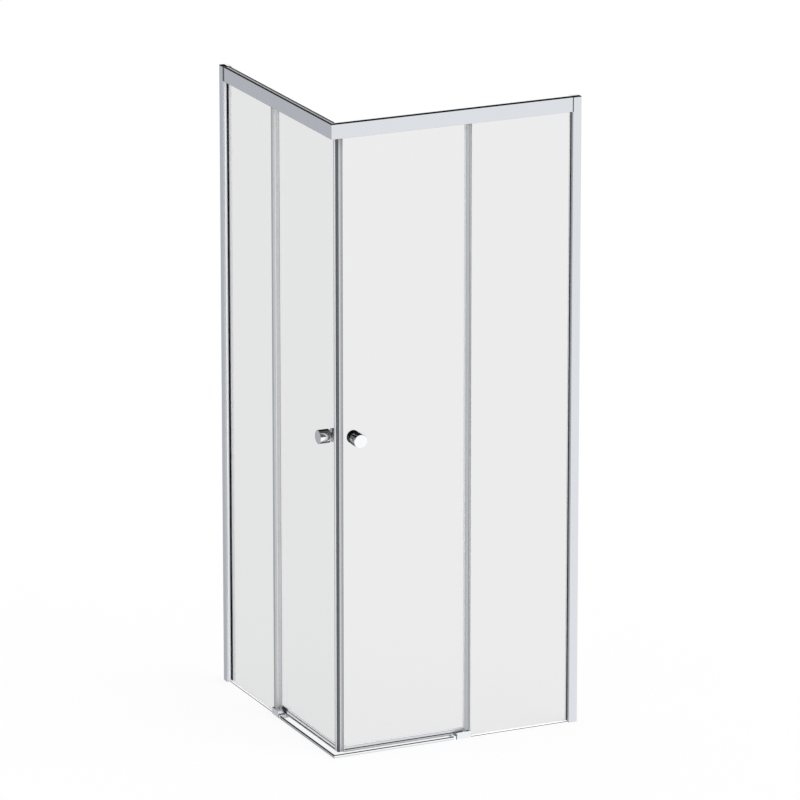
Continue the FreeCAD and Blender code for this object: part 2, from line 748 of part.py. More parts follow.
def overlap_seal():
    """The fin behind the fixed stile that wipes the door glass."""
    body = new_body("front_overlap_seal")
    foot_start = "fixed_stile_start + header_round"
    fin_end = f"{foot_start} + overlap_seal_fin"
    foot_end = f"{foot_start} + overlap_seal_width"
    back = "fixed_stile_back"
    section = [
        (foot_start, back),
        (foot_end, back),
        (foot_end, f"{back} + overlap_seal_foot"),
        (fin_end, f"{back} + overlap_seal_foot"),
        (fin_end, "door_glass_front - seal_gap"),
        (foot_start, "door_glass_front - seal_gap"),
    ]
    base = "door_lift + bottom_rail_height + seal_lift"
    pad(body, "seal_section", "XY_Plane", base, f"header_base - seal_gap - ({base})", [section])
    keep("overlap_seal", body)


def bottom_seal():
    """The channel strip under the fixed pane, from the door guide to the wall post."""
    body = new_body("front_bottom_seal")
    front = "glass_offset - bottom_seal_wall"
    back = "glass_back + bottom_seal_wall"
    section = [
        (front, "0"),
        (back, "0"),
        (back, "bottom_seal_height"),
        ("glass_back", "bottom_seal_height"),
        ("glass_back", "glass_lift"),
        ("glass_offset", "glass_lift"),
        ("glass_offset", "bottom_seal_height"),
        (front, "bottom_seal_height"),
    ]
    length = "post_face - bulb_reach - seat_clearance - guide_end"
    pad(body, "bottom_seal_section", "YZ_Plane", "guide_end", length, [section])
    keep("bottom_seal", body)


# ---------------------------------------------------------------------------
# Threshold strip and door guide
# ---------------------------------------------------------------------------
def sill_strip():
    body = new_body("front_sill_strip")
    back = "sill_offset + sill_width"
    section = [
        ("sill_offset", "0"),
        (back, "0"),
        (back, "sill_toe"),
        ("sill_offset + sill_crest", "sill_height"),
        ("sill_offset", "sill_height", "sill_crest / 2"),
    ]
    pad(body, "sill_section", "YZ_Plane", "sill_offset", "guide_start - sill_offset", [section])
    reach = f"{back} + 1"
    corner = [
        ("sill_offset - 1", "sill_offset - 1 - mitre_gap / 2"),
        (reach, f"{reach} - mitre_gap / 2"),
        ("sill_offset - 1", f"{reach} - mitre_gap / 2"),
    ]
    pocket(body, "sill_mitre", "XY_Plane", "-1", "sill_height + 2", [corner])
    keep("sill_strip", body)


def door_guide():
    """The block that holds the fixed pane's corner and forks round the door's bottom rail."""
    body = new_body("front_door_guide")
    tall_start = "guide_start + guide_step_length"
    back = "cheek_back + guide_cheek"
    floor = box_outline("guide_start", "guide_end", "guide_offset", back)
    pad(body, "guide_base", "XY_Plane", "0", "guide_floor", [floor])
    step = box_outline("guide_start", "guide_end", "guide_offset", "cheek_front")
    pad(body, "guide_step", "XY_Plane", "0", "guide_step_height", [step])
    outer = [
        (tall_start, "guide_offset", "2"),
        ("guide_end", "guide_offset", "1"),
        ("guide_end", "cheek_front"),
        (tall_start, "cheek_front", "2"),
    ]
    pad(body, "outer_cheek", "XY_Plane", "0", "guide_height", [outer])
    inner = [
        (tall_start, "cheek_back"),
        ("guide_end", "cheek_back"),
        ("guide_end", back),
        (tall_start, back, "2"),
    ]
    pad(body, "inner_cheek", "XY_Plane", "0", "guide_height", [inner])
    slot = box_outline(
        "fixed_stile_slot",
        "guide_end + 1",
        "glass_offset - seat_clearance",
        "glass_back + seat_clearance",
    )
    pocket(body, "pane_slot", "XY_Plane", "glass_lift", "guide_height - glass_lift + 1", [slot])
    keep("door_guide", body)


# ---------------------------------------------------------------------------
# Sliding door
# ---------------------------------------------------------------------------
def door_glass():
    body = new_body("front_door_glass")
    pane = box_outline(
        "stile_slot + seat_clearance",
        "trailing_slot - seat_clearance",
        "door_lift + bottom_rail_floor + seat_clearance",
        "door_top",
    )
    hanger_hole = "hanger_neck_radius + seat_clearance"
    knob_hole = "knob_screw_radius + knob_bore_clearance"
    holes = [
        ("lead_wheel", "wheel_level", hanger_hole),
        ("trail_wheel", "wheel_level", hanger_hole),
        ("knob_centre", "knob_height", knob_hole),
    ]
    pad(body, "door_pane", "XZ_Plane", "door_glass_front", "door_glass_thickness", [pane], holes)
    keep("door_glass", body)


def leading_stile():
    """The stile at the corner, with its nose cut parallel to the diagonal."""
    body = new_body("front_leading_stile")
    line = "stile_back - stile_line_inset"
    section = [
        ("door_start", "door_offset"),
        (f"{line} - stile_line_width", "door_offset"),
        (f"{line} - stile_line_width", "door_offset + face_line_depth"),
        (line, "door_offset + face_line_depth"),
        (line, "door_offset"),
        ("stile_back", "door_offset"),
        ("stile_back", "glass_slot_front"),
        ("stile_slot", "glass_slot_front"),
        ("stile_slot", "glass_slot_back"),
        ("stile_back", "glass_slot_back"),
        ("stile_back", "door_back"),
        ("door_back + nose_setback", "door_back"),
    ]
    pad(body, "leading_section", "XY_Plane", "door_lift", "door_top - door_lift", [section])
    keep("leading_stile", body)


def magnet_seal():
    """The magnetic strip on the nose, which meets the other door's on the diagonal."""
    body = new_body("front_magnet_seal")
    near = "door_offset + seal_inset"
    far = "door_back - seal_inset"
    meeting = "rolling_gap * 3 / 4"
    section = [
        (f"{near} + {meeting}", near),
        (f"{near} + nose_setback", near),
        (f"{far} + nose_setback", far),
        (f"{far} + {meeting}", far),
    ]
    pad(body, "magnet_section", "XY_Plane", "door_lift", "door_top - door_lift", [section])
    keep("magnet_seal", body)


def trailing_stile():
    body = new_body("front_trailing_stile")
    section = [
        ("trailing_start", "door_offset"),
        ("door_end", "door_offset", "header_round"),
        ("door_end", "door_back", "header_round"),
        ("trailing_start", "door_back"),
        ("trailing_start", "glass_slot_back"),
        ("trailing_slot", "glass_slot_back"),
        ("trailing_slot", "glass_slot_front"),
        ("trailing_start", "glass_slot_front"),
    ]
    pad(body, "trailing_section", "XY_Plane", "door_lift", "door_top - door_lift", [section])
    keep("trailing_stile", body)


def bottom_rail():
    body = new_body("front_bottom_rail")
    top = "door_lift + bottom_rail_height"
    slot = "door_lift + bottom_rail_floor"
    middle = "(door_offset + door_back) / 2"
    groove_front = f"{middle} - drip_thickness / 2 - slot_clearance"
    groove_back = f"{middle} + drip_thickness / 2 + slot_clearance"
    line = "door_lift + rail_line_lift"
    section = [
        ("door_offset", "door_lift"),
        (groove_front, "door_lift"),
        (groove_front, "door_lift + drip_groove_depth"),
        (groove_back, "door_lift + drip_groove_depth"),
        (groove_back, "door_lift"),
        ("door_back", "door_lift"),
        ("door_back", top),
        ("glass_slot_back", top),
        ("glass_slot_back", slot),
        ("glass_slot_front", slot),
        ("glass_slot_front", top),
        ("door_offset", top, "header_round"),
        ("door_offset", f"{line} + rail_line_width"),
        ("door_offset + face_line_depth", f"{line} + rail_line_width"),
        ("door_offset + face_line_depth", line),
        ("door_offset", line),
    ]
    pad(body, "bottom_section", "YZ_Plane", "stile_back", "trailing_start - stile_back", [section])
    keep("bottom_rail", body)


def drip_seal():
    body = new_body("front_drip_seal")
    middle = "(door_offset + door_back) / 2"
    outline = box_outline(
        f"{middle} - drip_thickness / 2",
        f"{middle} + drip_thickness / 2",
        "door_lift - drip_drop",
        "door_lift + drip_groove_depth - slot_clearance",
    )
    pad(body, "drip_section", "YZ_Plane", "stile_back", "trailing_start - stile_back", [outline])
    keep("drip_seal", body)


def roller_hangers():
    """The turned hangers clamped in the glass, one for each roller."""
    hangers = []
    bore = "axle_radius + fit_clearance"
    wheel_back = "wheel_centre + wheel_width / 2"
    cap_face = "door_glass_back + hanger_cap_height"
    for name, along in (("hanger_lead", "lead_wheel"), ("hanger_trail", "trail_wheel")):
        body = new_body(name, along, "0", "wheel_level")
        revolve(body, name + "_turning", [
            (bore, f"{wheel_back} + rolling_gap"),
            ("axle_radius * 2", f"{wheel_back} + rolling_gap"),
            ("hanger_radius", "door_glass_front - hanger_rim"),
            ("hanger_radius", "door_glass_front"),
            ("hanger_neck_radius", "door_glass_front"),
            ("hanger_neck_radius", "door_glass_back"),
            ("hanger_radius", "door_glass_back"),
            ("hanger_radius", f"{cap_face} - hanger_bevel"),
            ("hanger_radius - hanger_bevel", cap_face),
            ("0", cap_face),
            ("0", "door_glass_back"),
            (bore, "door_glass_back"),
        ])
        half = "hanger_key / 2"
        flat = f"{half} / cos(30)"
        hexagon = [
            (flat, "0"),
            (f"{flat} / 2", half),
            (f"-{flat} / 2", half),
            (f"-{flat}", "0"),
            (f"-{flat} / 2", f"-{half}"),
            (f"{flat} / 2", f"-{half}"),
        ]
        pocket(body, name + "_key", "XZ_Plane", f"{cap_face} - hanger_key_depth", "hanger_key_depth + 1",
               [hexagon])
        hangers.append(body)
    keep("roller_hangers", group("front_roller_hangers", hangers))


def roller_axles():
    """Shouldered pins that carry the rollers."""
    axles = []
    head = "wheel_centre - wheel_width / 2 + axle_head_sink"
    for name, along in (("axle_lead", "lead_wheel"), ("axle_trail", "trail_wheel")):
        body = new_body(name, along, "0", "wheel_level")
        revolve(body, name + "_turning", [
            ("0", head),
            ("axle_head_radius", head),
            ("axle_head_radius", f"{head} + axle_head_height"),
            ("axle_radius", f"{head} + axle_head_height"),
            ("axle_radius", "door_glass_back"),
            ("0", "door_glass_back"),
        ])
        axles.append(body)
    keep("roller_axles", group("front_roller_axles", axles))


def roller_wheel(name, along):
    """A grooved roller with a sunk face for the axle's head."""
    body = new_body(name, along, "0", "wheel_level")
    outer_side = "wheel_centre - wheel_width / 2"
    inner_side = "wheel_centre + wheel_width / 2"
    sink = f"{outer_side} + axle_head_sink + axle_head_height + rolling_gap"
    bore = "axle_radius + running_clearance"
    recess = "axle_head_radius + rolling_gap"
    revolve(body, name + "_turning", [
        (bore, sink),
        (recess, sink),
        (recess, outer_side),
        ("wheel_radius", outer_side),
        ("wheel_radius", f"{outer_side} + flange_width"),
        ("tread_radius", "wheel_centre - tread_width / 2"),
        ("tread_radius", "wheel_centre + tread_width / 2"),
        ("wheel_radius", f"{inner_side} - flange_width"),
        ("wheel_radius", inner_side),
        (bore, inner_side),
    ])
    keep(name, body)


def knobs():
    """Outer and inner knob, the screw that joins them through the glass, and two washers."""
    at = ("knob_centre", "0", "knob_height")
    neck_end = "door_glass_front - washer_thickness"
    bore = "knob_screw_radius + fit_clearance"
    grip = f"{neck_end} - knob_screw_grip"
    outer = new_body("knob_outer", *at)
    revolve(outer, "knob_outer_turning", [
        ("0", "-knob_overhang"),
        ("knob_radius - knob_bevel", "-knob_overhang"),
        ("knob_radius", "knob_bevel - knob_overhang"),
        ("knob_radius", "knob_back - knob_bevel"),
        ("knob_radius - knob_bevel", "knob_back"),
        ("knob_neck_radius", "knob_back"),
        ("knob_neck_radius", neck_end),
        (bore, neck_end),
        (bore, grip),
        ("0", grip),
    ])
    keep("knob_outer", outer)

    inner_neck = "door_glass_back + washer_thickness"
    inner_face = f"{inner_neck} + inner_neck_length"
    inner_end = f"{inner_face} + inner_knob_length"
    inner = new_body("knob_inner", *at)
    revolve(inner, "knob_inner_turning", [
        (bore, inner_neck),
        ("knob_neck_radius", inner_neck),
        ("knob_neck_radius", inner_face),
        ("inner_knob_radius - knob_bevel", inner_face),
        ("inner_knob_radius", f"{inner_face} + knob_bevel"),
        ("inner_knob_radius", f"{inner_end} - knob_bevel"),
        ("inner_knob_radius - knob_bevel", inner_end),
        ("0", inner_end),
        ("0", f"{inner_face} + inner_knob_length / 2"),
        (bore, f"{inner_face} + inner_knob_length / 2"),
    ])
    keep("knob_inner", inner)

    screw = new_body("knob_screw", *at)
    revolve(screw, "knob_screw_turning", [
        ("0", f"{grip} + seat_clearance"),
        ("knob_screw_radius", f"{grip} + seat_clearance"),
        ("knob_screw_radius", f"{inner_face} + inner_knob_length / 2 - seat_clearance"),
        ("0", f"{inner_face} + inner_knob_length / 2 - seat_clearance"),
    ])
    keep("knob_screw", screw)

    washers = []
    for name, low, high in (
        ("washer_outer", neck_end, "door_glass_front"),
        ("washer_inner", "door_glass_back", inner_neck),
    ):
        body = new_body(name, *at)
        revolve(body, name + "_turning", [
            (bore, low),
            ("washer_radius", low),
            ("washer_radius", high),
            (bore, high),
        ])
        washers.append(body)
    keep("knob_washers", group("front_knob_washers", washers))


# ---------------------------------------------------------------------------
# Build, check and write
# ---------------------------------------------------------------------------
def build():
    """Make every piece of the enclosure."""
    fill_sheet()
    header_rail()
    corner_key()
    corner_key_screws()
    stop_bumpers()
    wall_channel()
    wall_post()
    post_cap()
    post_gaskets()
    frame_screws()
    fixed_glass()
    header_gasket()
    fixed_stile()
    overlap_seal()
    bottom_seal()
    sill_strip()
    door_guide()
    door_glass()
    leading_stile()
    magnet_seal()
    trailing_stile()
    bottom_rail()
    drip_seal()
    roller_hangers()
    roller_axles()
    roller_wheel("roller_wheel_lead", "lead_wheel")
    roller_wheel("roller_wheel_trail", "trail_wheel")
    knobs()
    doc.recompute()


def check():
    """Stop if any object failed or any piece has no sound solid."""
    for thing in doc.Objects:
        if {"Invalid", "Error"} & set(thing.State):
            raise ValueError(f"{thing.Name} did not build: {thing.State}")
    for piece in sub_parts:
        if piece.Shape.isNull() or not piece.Shape.isValid() or not piece.Shape.Solids:
            raise ValueError(f"{piece.Label} has no sound solid")


def write():
    """Write each piece to its own file."""
    os.makedirs("parts", exist_ok=True)
    for piece in sub_parts:
        piece.Shape.exportStep(f"parts/{piece.Label}.step")
    print(f"{len(sub_parts)} pieces written")


build()
check()
write()
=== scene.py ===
"""Looks of the corner-entry shower enclosure: finishes, turned pieces, fasteners, stage and camera.

Both sides of the corner are measured alike: along the side, from the outer corner to the wall, inboard of
the header rails' faces, and up from the tray. Lengths are in metres.
"""

import json
import math

import bmesh
import bpy
import numpy as np
from mathutils import Matrix, Vector


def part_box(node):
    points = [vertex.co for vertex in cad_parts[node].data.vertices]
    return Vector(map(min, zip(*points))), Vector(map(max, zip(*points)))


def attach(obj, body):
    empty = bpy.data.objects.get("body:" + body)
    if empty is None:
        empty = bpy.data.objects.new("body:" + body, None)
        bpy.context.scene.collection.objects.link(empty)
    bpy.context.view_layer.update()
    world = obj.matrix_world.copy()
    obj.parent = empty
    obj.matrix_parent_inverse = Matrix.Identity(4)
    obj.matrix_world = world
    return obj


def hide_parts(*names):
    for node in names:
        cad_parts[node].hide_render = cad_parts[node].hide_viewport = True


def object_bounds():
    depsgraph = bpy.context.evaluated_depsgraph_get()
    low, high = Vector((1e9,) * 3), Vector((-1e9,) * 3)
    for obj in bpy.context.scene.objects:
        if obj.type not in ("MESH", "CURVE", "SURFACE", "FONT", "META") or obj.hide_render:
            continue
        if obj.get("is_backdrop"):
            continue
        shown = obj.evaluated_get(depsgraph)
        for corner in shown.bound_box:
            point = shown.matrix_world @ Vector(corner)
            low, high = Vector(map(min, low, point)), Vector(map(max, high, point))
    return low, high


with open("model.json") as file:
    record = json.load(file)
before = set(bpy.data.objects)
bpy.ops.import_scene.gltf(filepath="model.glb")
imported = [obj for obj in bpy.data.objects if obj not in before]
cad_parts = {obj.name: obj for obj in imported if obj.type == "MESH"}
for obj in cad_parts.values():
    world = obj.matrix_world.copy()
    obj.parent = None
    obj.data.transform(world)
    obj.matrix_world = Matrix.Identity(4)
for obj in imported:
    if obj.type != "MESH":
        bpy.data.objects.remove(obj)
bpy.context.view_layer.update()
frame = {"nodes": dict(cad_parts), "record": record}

bl_info = {
    "name": "Shower Enclosure Looks",
    "version": (1, 0, 0),
    "blender": (4, 5, 0),
    "location": "View3D > Sidebar > Enclosure",
    "description": "Finishes, turned pieces, fasteners, stage and camera of a corner-entry shower enclosure",
    "category": "Object",
}

SIDES = ("front", "left")
ALONG, INBOARD, UP = 0, 1, 2


# ---------------------------------------------------------------------------
# Settings
# ---------------------------------------------------------------------------
class PhotoViewSettings(bpy.types.PropertyGroup):
    """Where the photograph was taken from."""

    azimuth: bpy.props.FloatProperty(
        name="Azimuth", description="Turn of the camera about the vertical, from straight in front",
        default=math.radians(-25.1), subtype="ANGLE")
    elevation: bpy.props.FloatProperty(
        name="Elevation", description="Height of the camera above the horizon",
        default=math.radians(16.56), subtype="ANGLE")
    distance: bpy.props.FloatProperty(
        name="Distance", description="Camera to the middle of the outer corner",
        default=19.562, unit="LENGTH")
    lens: bpy.props.FloatProperty(
        name="Lens", description="Focal length in millimetres on a sensor 36 mm wide", default=307.336)
    aim_aside: bpy.props.FloatProperty(
        name="Aim aside", description="Aim to the right of the outer corner, across the view",
        default=0.19391, unit="LENGTH")
    aim_above: bpy.props.FloatProperty(
        name="Aim above", description="Aim above the middle of the outer corner, across the view",
        default=0.13325, unit="LENGTH")


class StudioSettings(bpy.types.PropertyGroup):
    """Floor and light."""

    floor_reach: bpy.props.FloatProperty(
        name="Floor reach", description="Half the width of the floor", default=60.0, unit="LENGTH")
    floor_white: bpy.props.FloatProperty(
        name="Floor white", description="Reflectance of the floor", default=0.86)
    floor_glow: bpy.props.FloatProperty(
        name="Floor glow", description="Share of plain white in what the camera sees of the floor",
        default=0.86)
    dome: bpy.props.FloatProperty(
        name="Dome", description="Strength of the light from all round", default=0.95)
    key: bpy.props.FloatProperty(
        name="Key", description="Strength of the soft light from the front right", default=0.9)
    key_spread: bpy.props.FloatProperty(
        name="Key spread", description="Angle that the soft light seems to cover",
        default=math.radians(50), subtype="ANGLE")


class TurnedSettings(bpy.types.PropertyGroup):
    """Knobs, rollers and screws."""

    knob_body: bpy.props.FloatProperty(
        name="Knob body", description="Length of the outer knob without its neck", default=0.0335,
        unit="LENGTH")
    inner_body: bpy.props.FloatProperty(
        name="Inner knob body", description="Length of the inner knob without its neck", default=0.012,
        unit="LENGTH")
    knob_neck: bpy.props.FloatProperty(
        name="Knob neck", description="Radius of either knob's neck", default=0.0075, unit="LENGTH")
    knob_edge: bpy.props.FloatProperty(
        name="Knob edge", description="Rounding of the knobs' edges", default=0.0013, unit="LENGTH")
    knob_bore: bpy.props.FloatProperty(
        name="Knob bore", description="Radius of the bore for the joining screw", default=0.00302,
        unit="LENGTH")
    tread: bpy.props.FloatProperty(
        name="Tread", description="Radius of the floor of a roller's groove", default=0.0075, unit="LENGTH")
    roller_bore: bpy.props.FloatProperty(
        name="Roller bore", description="Radius of a roller's bore", default=0.00255, unit="LENGTH")
    recess: bpy.props.FloatProperty(
        name="Cross recess", description="Depth of the cross in a screw's head", default=0.0012,
        unit="LENGTH")
    segments: bpy.props.IntProperty(
        name="Segments", description="Faces round a turned piece", default=96)


def colour_property(name, description, default):
    """A colour that can be picked, opaque."""
    return bpy.props.FloatVectorProperty(
        name=name, description=description, default=(*default, 1.0), size=4, subtype="COLOR")


class FinishSettings(bpy.types.PropertyGroup):
    """Colours and finish values of the materials."""

    aluminium: colour_property("Aluminium", "Colour of the bright aluminium", (0.76, 0.77, 0.79))
    chrome: colour_property("Chrome", "Colour of the chrome plate", (0.97, 0.975, 0.98))
    steel: colour_property("Steel", "Colour of screws and axles", (0.55, 0.56, 0.57))
    seal: colour_property("Seal", "Colour of the clear seals", (0.62, 0.63, 0.63))
    rubber: colour_property("Rubber", "Colour of the black rubber", (0.008, 0.008, 0.009))
    magnet: colour_property("Magnetic seal", "Colour of the magnetic seals", (0.10, 0.105, 0.12))
    nylon: colour_property("Nylon", "Colour of the rollers", (0.80, 0.80, 0.78))
    metal_roughness: bpy.props.FloatProperty(
        name="Metal roughness", description="Roughness of the bright aluminium", default=0.2)
    glass_tint: bpy.props.FloatProperty(
        name="Glass tint", description="Light that one face of a pane lets through", default=0.9196)


# ---------------------------------------------------------------------------
# Places
# ---------------------------------------------------------------------------
def outer_corner():
    """The vertical line where the faces of the two header rails meet."""
    return (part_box("left_header_rail")[0][0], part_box("front_header_rail")[0][1])


def box_of(side, node):
    """The box of a side's piece as (lowest, highest) arrays of (along the side, inboard, up)."""
    low, high = (np.array(corner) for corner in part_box(f"{side}_{node}"))
    return (low, high) if side == "front" else (low[[1, 0, 2]], high[[1, 0, 2]])


def corner_box(node):
    """The box of a piece of the front side, measured from the outer corner; the left side mirrors it."""
    corner = (*outer_corner(), 0.0)
    return [(limit - corner).tolist() for limit in box_of("front", node)]


# ---------------------------------------------------------------------------
# Surfaces
# ---------------------------------------------------------------------------
def rounded(points, reach, steps=6):
    """An open outline with its corners eased.

    At a corner C, with A and B at the rounding's reach along the two sides, the points are
    (1 - t) squared times A, plus 2 t (1 - t) times C, plus t squared times B, for t from 0 to 1.
    The reach is never more than 0.45 of a side, and the two ends of the outline stay.
    """
    corner = np.asarray(points, float)
    middle = corner[1:-1]
    before = corner[:-2] - middle
    after = corner[2:] - middle
    length_before = np.linalg.norm(before, axis=1, keepdims=True)
    length_after = np.linalg.norm(after, axis=1, keepdims=True)
    start = middle + before * np.minimum(reach / length_before, 0.45)
    end = middle + after * np.minimum(reach / length_after, 0.45)
    t = np.linspace(0.0, 1.0, steps)[None, :, None]
    arcs = (1 - t) ** 2 * start[:, None] + 2 * t * (1 - t) * middle[:, None] + t ** 2 * end[:, None]
    return np.concatenate([corner[:1], arcs.reshape(-1, 2), corner[-1:]])


def grid_faces(rows, columns):
    """Four-sided faces between neighbours of a grid that closes on itself along its second count."""
    row = np.arange(rows - 1)[:, None]
    column = np.arange(columns)[None, :]
    beside = (column + 1) % columns
    corners = (row * columns + column, row * columns + beside,
               (row + 1) * columns + beside, (row + 1) * columns + column)
    return np.stack(corners, axis=-1).reshape(-1, 4)


def turned(outline, segments, lift=None):
    """An outline of (radius, distance along the axis) carried round the axis.

    A point is (radius times cos a, distance, radius times sin a), for a from 0 to a full turn.
    lift, where given, is a function of the first and third coordinate that is added to the distance.
    """
    angle = np.linspace(0.0, 2 * math.pi, segments, endpoint=False)[None, :]
    radius = outline[:, :1]
    across = radius * np.cos(angle)
    up = radius * np.sin(angle)
    along = np.broadcast_to(outline[:, 1:], across.shape)
    if lift is not None:
        along = along + lift(across, up)
    return np.stack([across, along, up], axis=-1).reshape(-1, 3), grid_faces(len(outline), segments)


MERGE = 1e-7  # points closer than this, such as those on the axis of a turned piece, become one
SHARP = math.radians(40)  # an edge that turns more than this stays crisp


def new_piece(name, side, shells, body, node):
    """One object from shells of (points, faces), the points as along the side, inboard and up.

    It takes the place and the finish of the node, and moves with the body.
    """
    points, faces, count = [], [], 0
    for shell_points, shell_faces in shells:
        points.append(shell_points)
        faces.append(shell_faces + count)
        count += len(shell_points)
    points = np.concatenate(points)
    if side == "left":
        points = points[:, [1, 0, 2]]
    mesh = bpy.data.meshes.new(f"{side}_{name}")
    mesh.from_pydata(points.tolist(), [], np.concatenate(faces).tolist())
    work = bmesh.new()
    work.from_mesh(mesh)
    bmesh.ops.remove_doubles(work, verts=work.verts, dist=MERGE)
    bmesh.ops.recalc_face_normals(work, faces=work.faces)
    work.to_mesh(mesh)
    work.free()
    mesh.shade_smooth()
    mesh.set_sharp_from_angle(angle=SHARP)
    piece = bpy.data.objects.new(f"{side}_{name}", mesh)
    bpy.context.collection.objects.link(piece)
    mesh.materials.append(frame["nodes"][f"{side}_{node}"].data.materials[0])
    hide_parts(f"{side}_{node}")
    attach(piece, body)


# ---------------------------------------------------------------------------
# Node graphs
# ---------------------------------------------------------------------------
class Number:
    """A number in a node graph that can be added, multiplied and compared like any other."""

    def __init__(self, graph, socket):
        self.graph = graph
        self.socket = socket

    def maths(self, operation, other=None, first=None):
        """One Math node; first, where given, takes this number's place as the first input."""
        node = self.graph.tree.nodes.new("ShaderNodeMath")
        node.operation = operation
        operands = [self] if first is None else [first, self]
        if other is not None:
            operands.append(other)
        for slot, operand in enumerate(operands):
            self.graph.feed(node.inputs[slot], operand)
        return Number(self.graph, node.outputs[0])

    def __add__(self, other):
        return self.maths("ADD", other)

    __radd__ = __add__

    def __mul__(self, other):
        return self.maths("MULTIPLY", other)

    __rmul__ = __mul__

    def __sub__(self, other):
        return self.maths("SUBTRACT", other)

    def __rsub__(self, other):
        return self.maths("SUBTRACT", first=other)

    def __truediv__(self, other):
        return self.maths("DIVIDE", other)

    def __rtruediv__(self, other):
        return self.maths("DIVIDE", first=other)

    def below(self, limit):
        return self.maths("LESS_THAN", limit)

    def above(self, limit):
        return self.maths("GREATER_THAN", limit)

    def squared(self):
        return self.maths("POWER", 2.0)

    def smallest(self, other):
        return self.maths("MINIMUM", other)

    def largest(self, other):
        return self.maths("MAXIMUM", other)


SOFT = 0.0001  # half the width of the passage from one grey to the next
MIX_SOCKETS = {"FLOAT": (2, 3, 0), "RGBA": (6, 7, 2)}  # a Mix node's first and second input and its output


class Graph:
    """A node tree being built."""

    def __init__(self, tree):
        self.tree = tree
        tree.nodes.clear()

    def feed(self, socket, source):
        """Link a Number, a node's first output or a socket, or set a plain value."""
        if isinstance(source, Number):
            source = source.socket
        if isinstance(source, bpy.types.Node):
            source = source.outputs[0]
        if isinstance(source, bpy.types.NodeSocket):
            self.tree.links.new(source, socket)
        else:
            socket.default_value = source

    def node(self, kind, settings=None, **inputs):
        """A node of that kind, with its settings, and its inputs fed by name."""
        made = self.tree.nodes.new(kind)
        for name, setting in (settings or {}).items():
            setattr(made, name, setting)
        for name, source in inputs.items():
            self.feed(made.inputs[name.replace("_", " ")], source)
        return made

    def number(self, node, output=0):
        """One output of a node as a Number."""
        return Number(self, node.outputs[output])

    def position(self):
        """Object coordinates, which are those of the whole enclosure."""
        return self.node("ShaderNodeTexCoord").outputs["Object"]

    def corner_place(self):
        """How far along its side, inboard of the rails' faces and above the tray a point lies."""
        corner = outer_corner()[0]
        split = self.node("ShaderNodeSeparateXYZ", Vector=self.position())
        x, y, up = (self.number(split, axis) for axis in "XYZ")
        return x.largest(y) - corner, x.smallest(y) - corner, up

    def ramp(self, number, low, high, at_low=0.0, at_high=1.0):
        """A smooth passage from one value to another between two limits, held beyond them."""
        return self.number(self.node(
            "ShaderNodeMapRange", {"interpolation_type": "SMOOTHSTEP"}, Value=number,
            From_Min=low, From_Max=high, To_Min=at_low, To_Max=at_high))

    def step(self, number, limit, soft=SOFT):
        """0 below a limit and 1 above it, with a smooth passage as far as soft to either side."""
        return self.ramp(number, limit - soft, limit + soft)

    def band(self, number, low, high):
        """1 between two limits and 0 outside them, with soft edges."""
        return self.step(number, low) * (1.0 - self.step(number, high))

    def mix(self, data_type, factor, first, second):
        """What a Mix node gives between two numbers or two colours, as a socket."""
        into_first, into_second, result = MIX_SOCKETS[data_type]
        made = self.node("ShaderNodeMix", {"data_type": data_type})
        for slot, source in ((0, factor), (into_first, first), (into_second, second)):
            self.feed(made.inputs[slot], source)
        return made.outputs[result]

    def blend(self, factor, first, second):
        """A colour between two others."""
        return self.mix("RGBA", factor, first, second)

    def mix_shaders(self, factor, first, second):
        """A shader between two others."""
        made = self.node("ShaderNodeMixShader")
        for slot, source in enumerate((factor, first, second)):
            self.feed(made.inputs[slot], source)
        return made


def new_material(name):
    """An empty node material and its graph."""
    material = bpy.data.materials.new(name)
    material.use_nodes = True
    return material, Graph(material.node_tree)


def surface(graph, shader):
    """Send a shader to the material's surface."""
    graph.node("ShaderNodeOutputMaterial", Surface=shader)


EVEN = (1.0, 1.0, 1.0)
UPRIGHT = (1.0, 1.0, 0.02)


def grain(graph, stretch, scale, strength, distance):
    """A bump of noise, even or drawn out into fine upright lines."""
    mapping = graph.node("ShaderNodeMapping", Vector=graph.position(), Scale=stretch)
    noise = graph.node("ShaderNodeTexNoise", Vector=mapping, Scale=scale, Detail=2.0)
    return graph.node("ShaderNodeBump", Strength=strength, Distance=distance, Height=noise)


def cloud(graph, scale, detail, low, high, at_low=0.0, at_high=1.0):
    """Soft blotches: noise carried smoothly from one value to another."""
    noise = graph.node("ShaderNodeTexNoise", Vector=graph.position(), Scale=scale, Detail=detail)
    return graph.ramp(graph.number(noise), low, high, at_low, at_high)


# ---------------------------------------------------------------------------
# Finishes
# ---------------------------------------------------------------------------
def grey(level):
    """A neutral colour, a touch cooler than plain grey."""
    return (level * 0.98, level * 0.995, level * 1.02, 1.0)


WHITE = (1.0, 1.0, 1.0, 1.0)
BLACK = (0.0, 0.0, 0.0, 1.0)
# the colour of painted shade
SHADED = (0.02, 0.02, 0.022, 1.0)


def chosen():
    """The colours and finish values as they are set."""
    return bpy.context.scene.enclosure_finish


def bands(graph, number, limits, levels):
    """Plain greys across a number's range: the first level up to the first limit, and so on."""
    colour = grey(levels[0])
    for limit, level in zip(limits, levels[1:]):
        colour = graph.blend(graph.step(number, limit), colour, grey(level))
    return colour


def metal(graph, colour, roughness, metallic=1.0, stretch=UPRIGHT):
    """Anodised aluminium with a faint grain; all but the grain may vary over the piece."""
    surface(graph, graph.node(
        "ShaderNodeBsdfPrincipled", Base_Color=colour, Metallic=metallic, Roughness=roughness,
        Normal=grain(graph, stretch, scale=900.0, strength=0.05, distance=0.0002)))


DULLER = 0.3  # how much rougher the plain stretches of bright aluminium are


def bright_metal(graph, colour, plain_where):
    """Bright aluminium, duller and without its mirror where plain_where is 1."""
    metal(graph, colour, plain_where * DULLER + chosen().metal_roughness, 1.0 - plain_where)


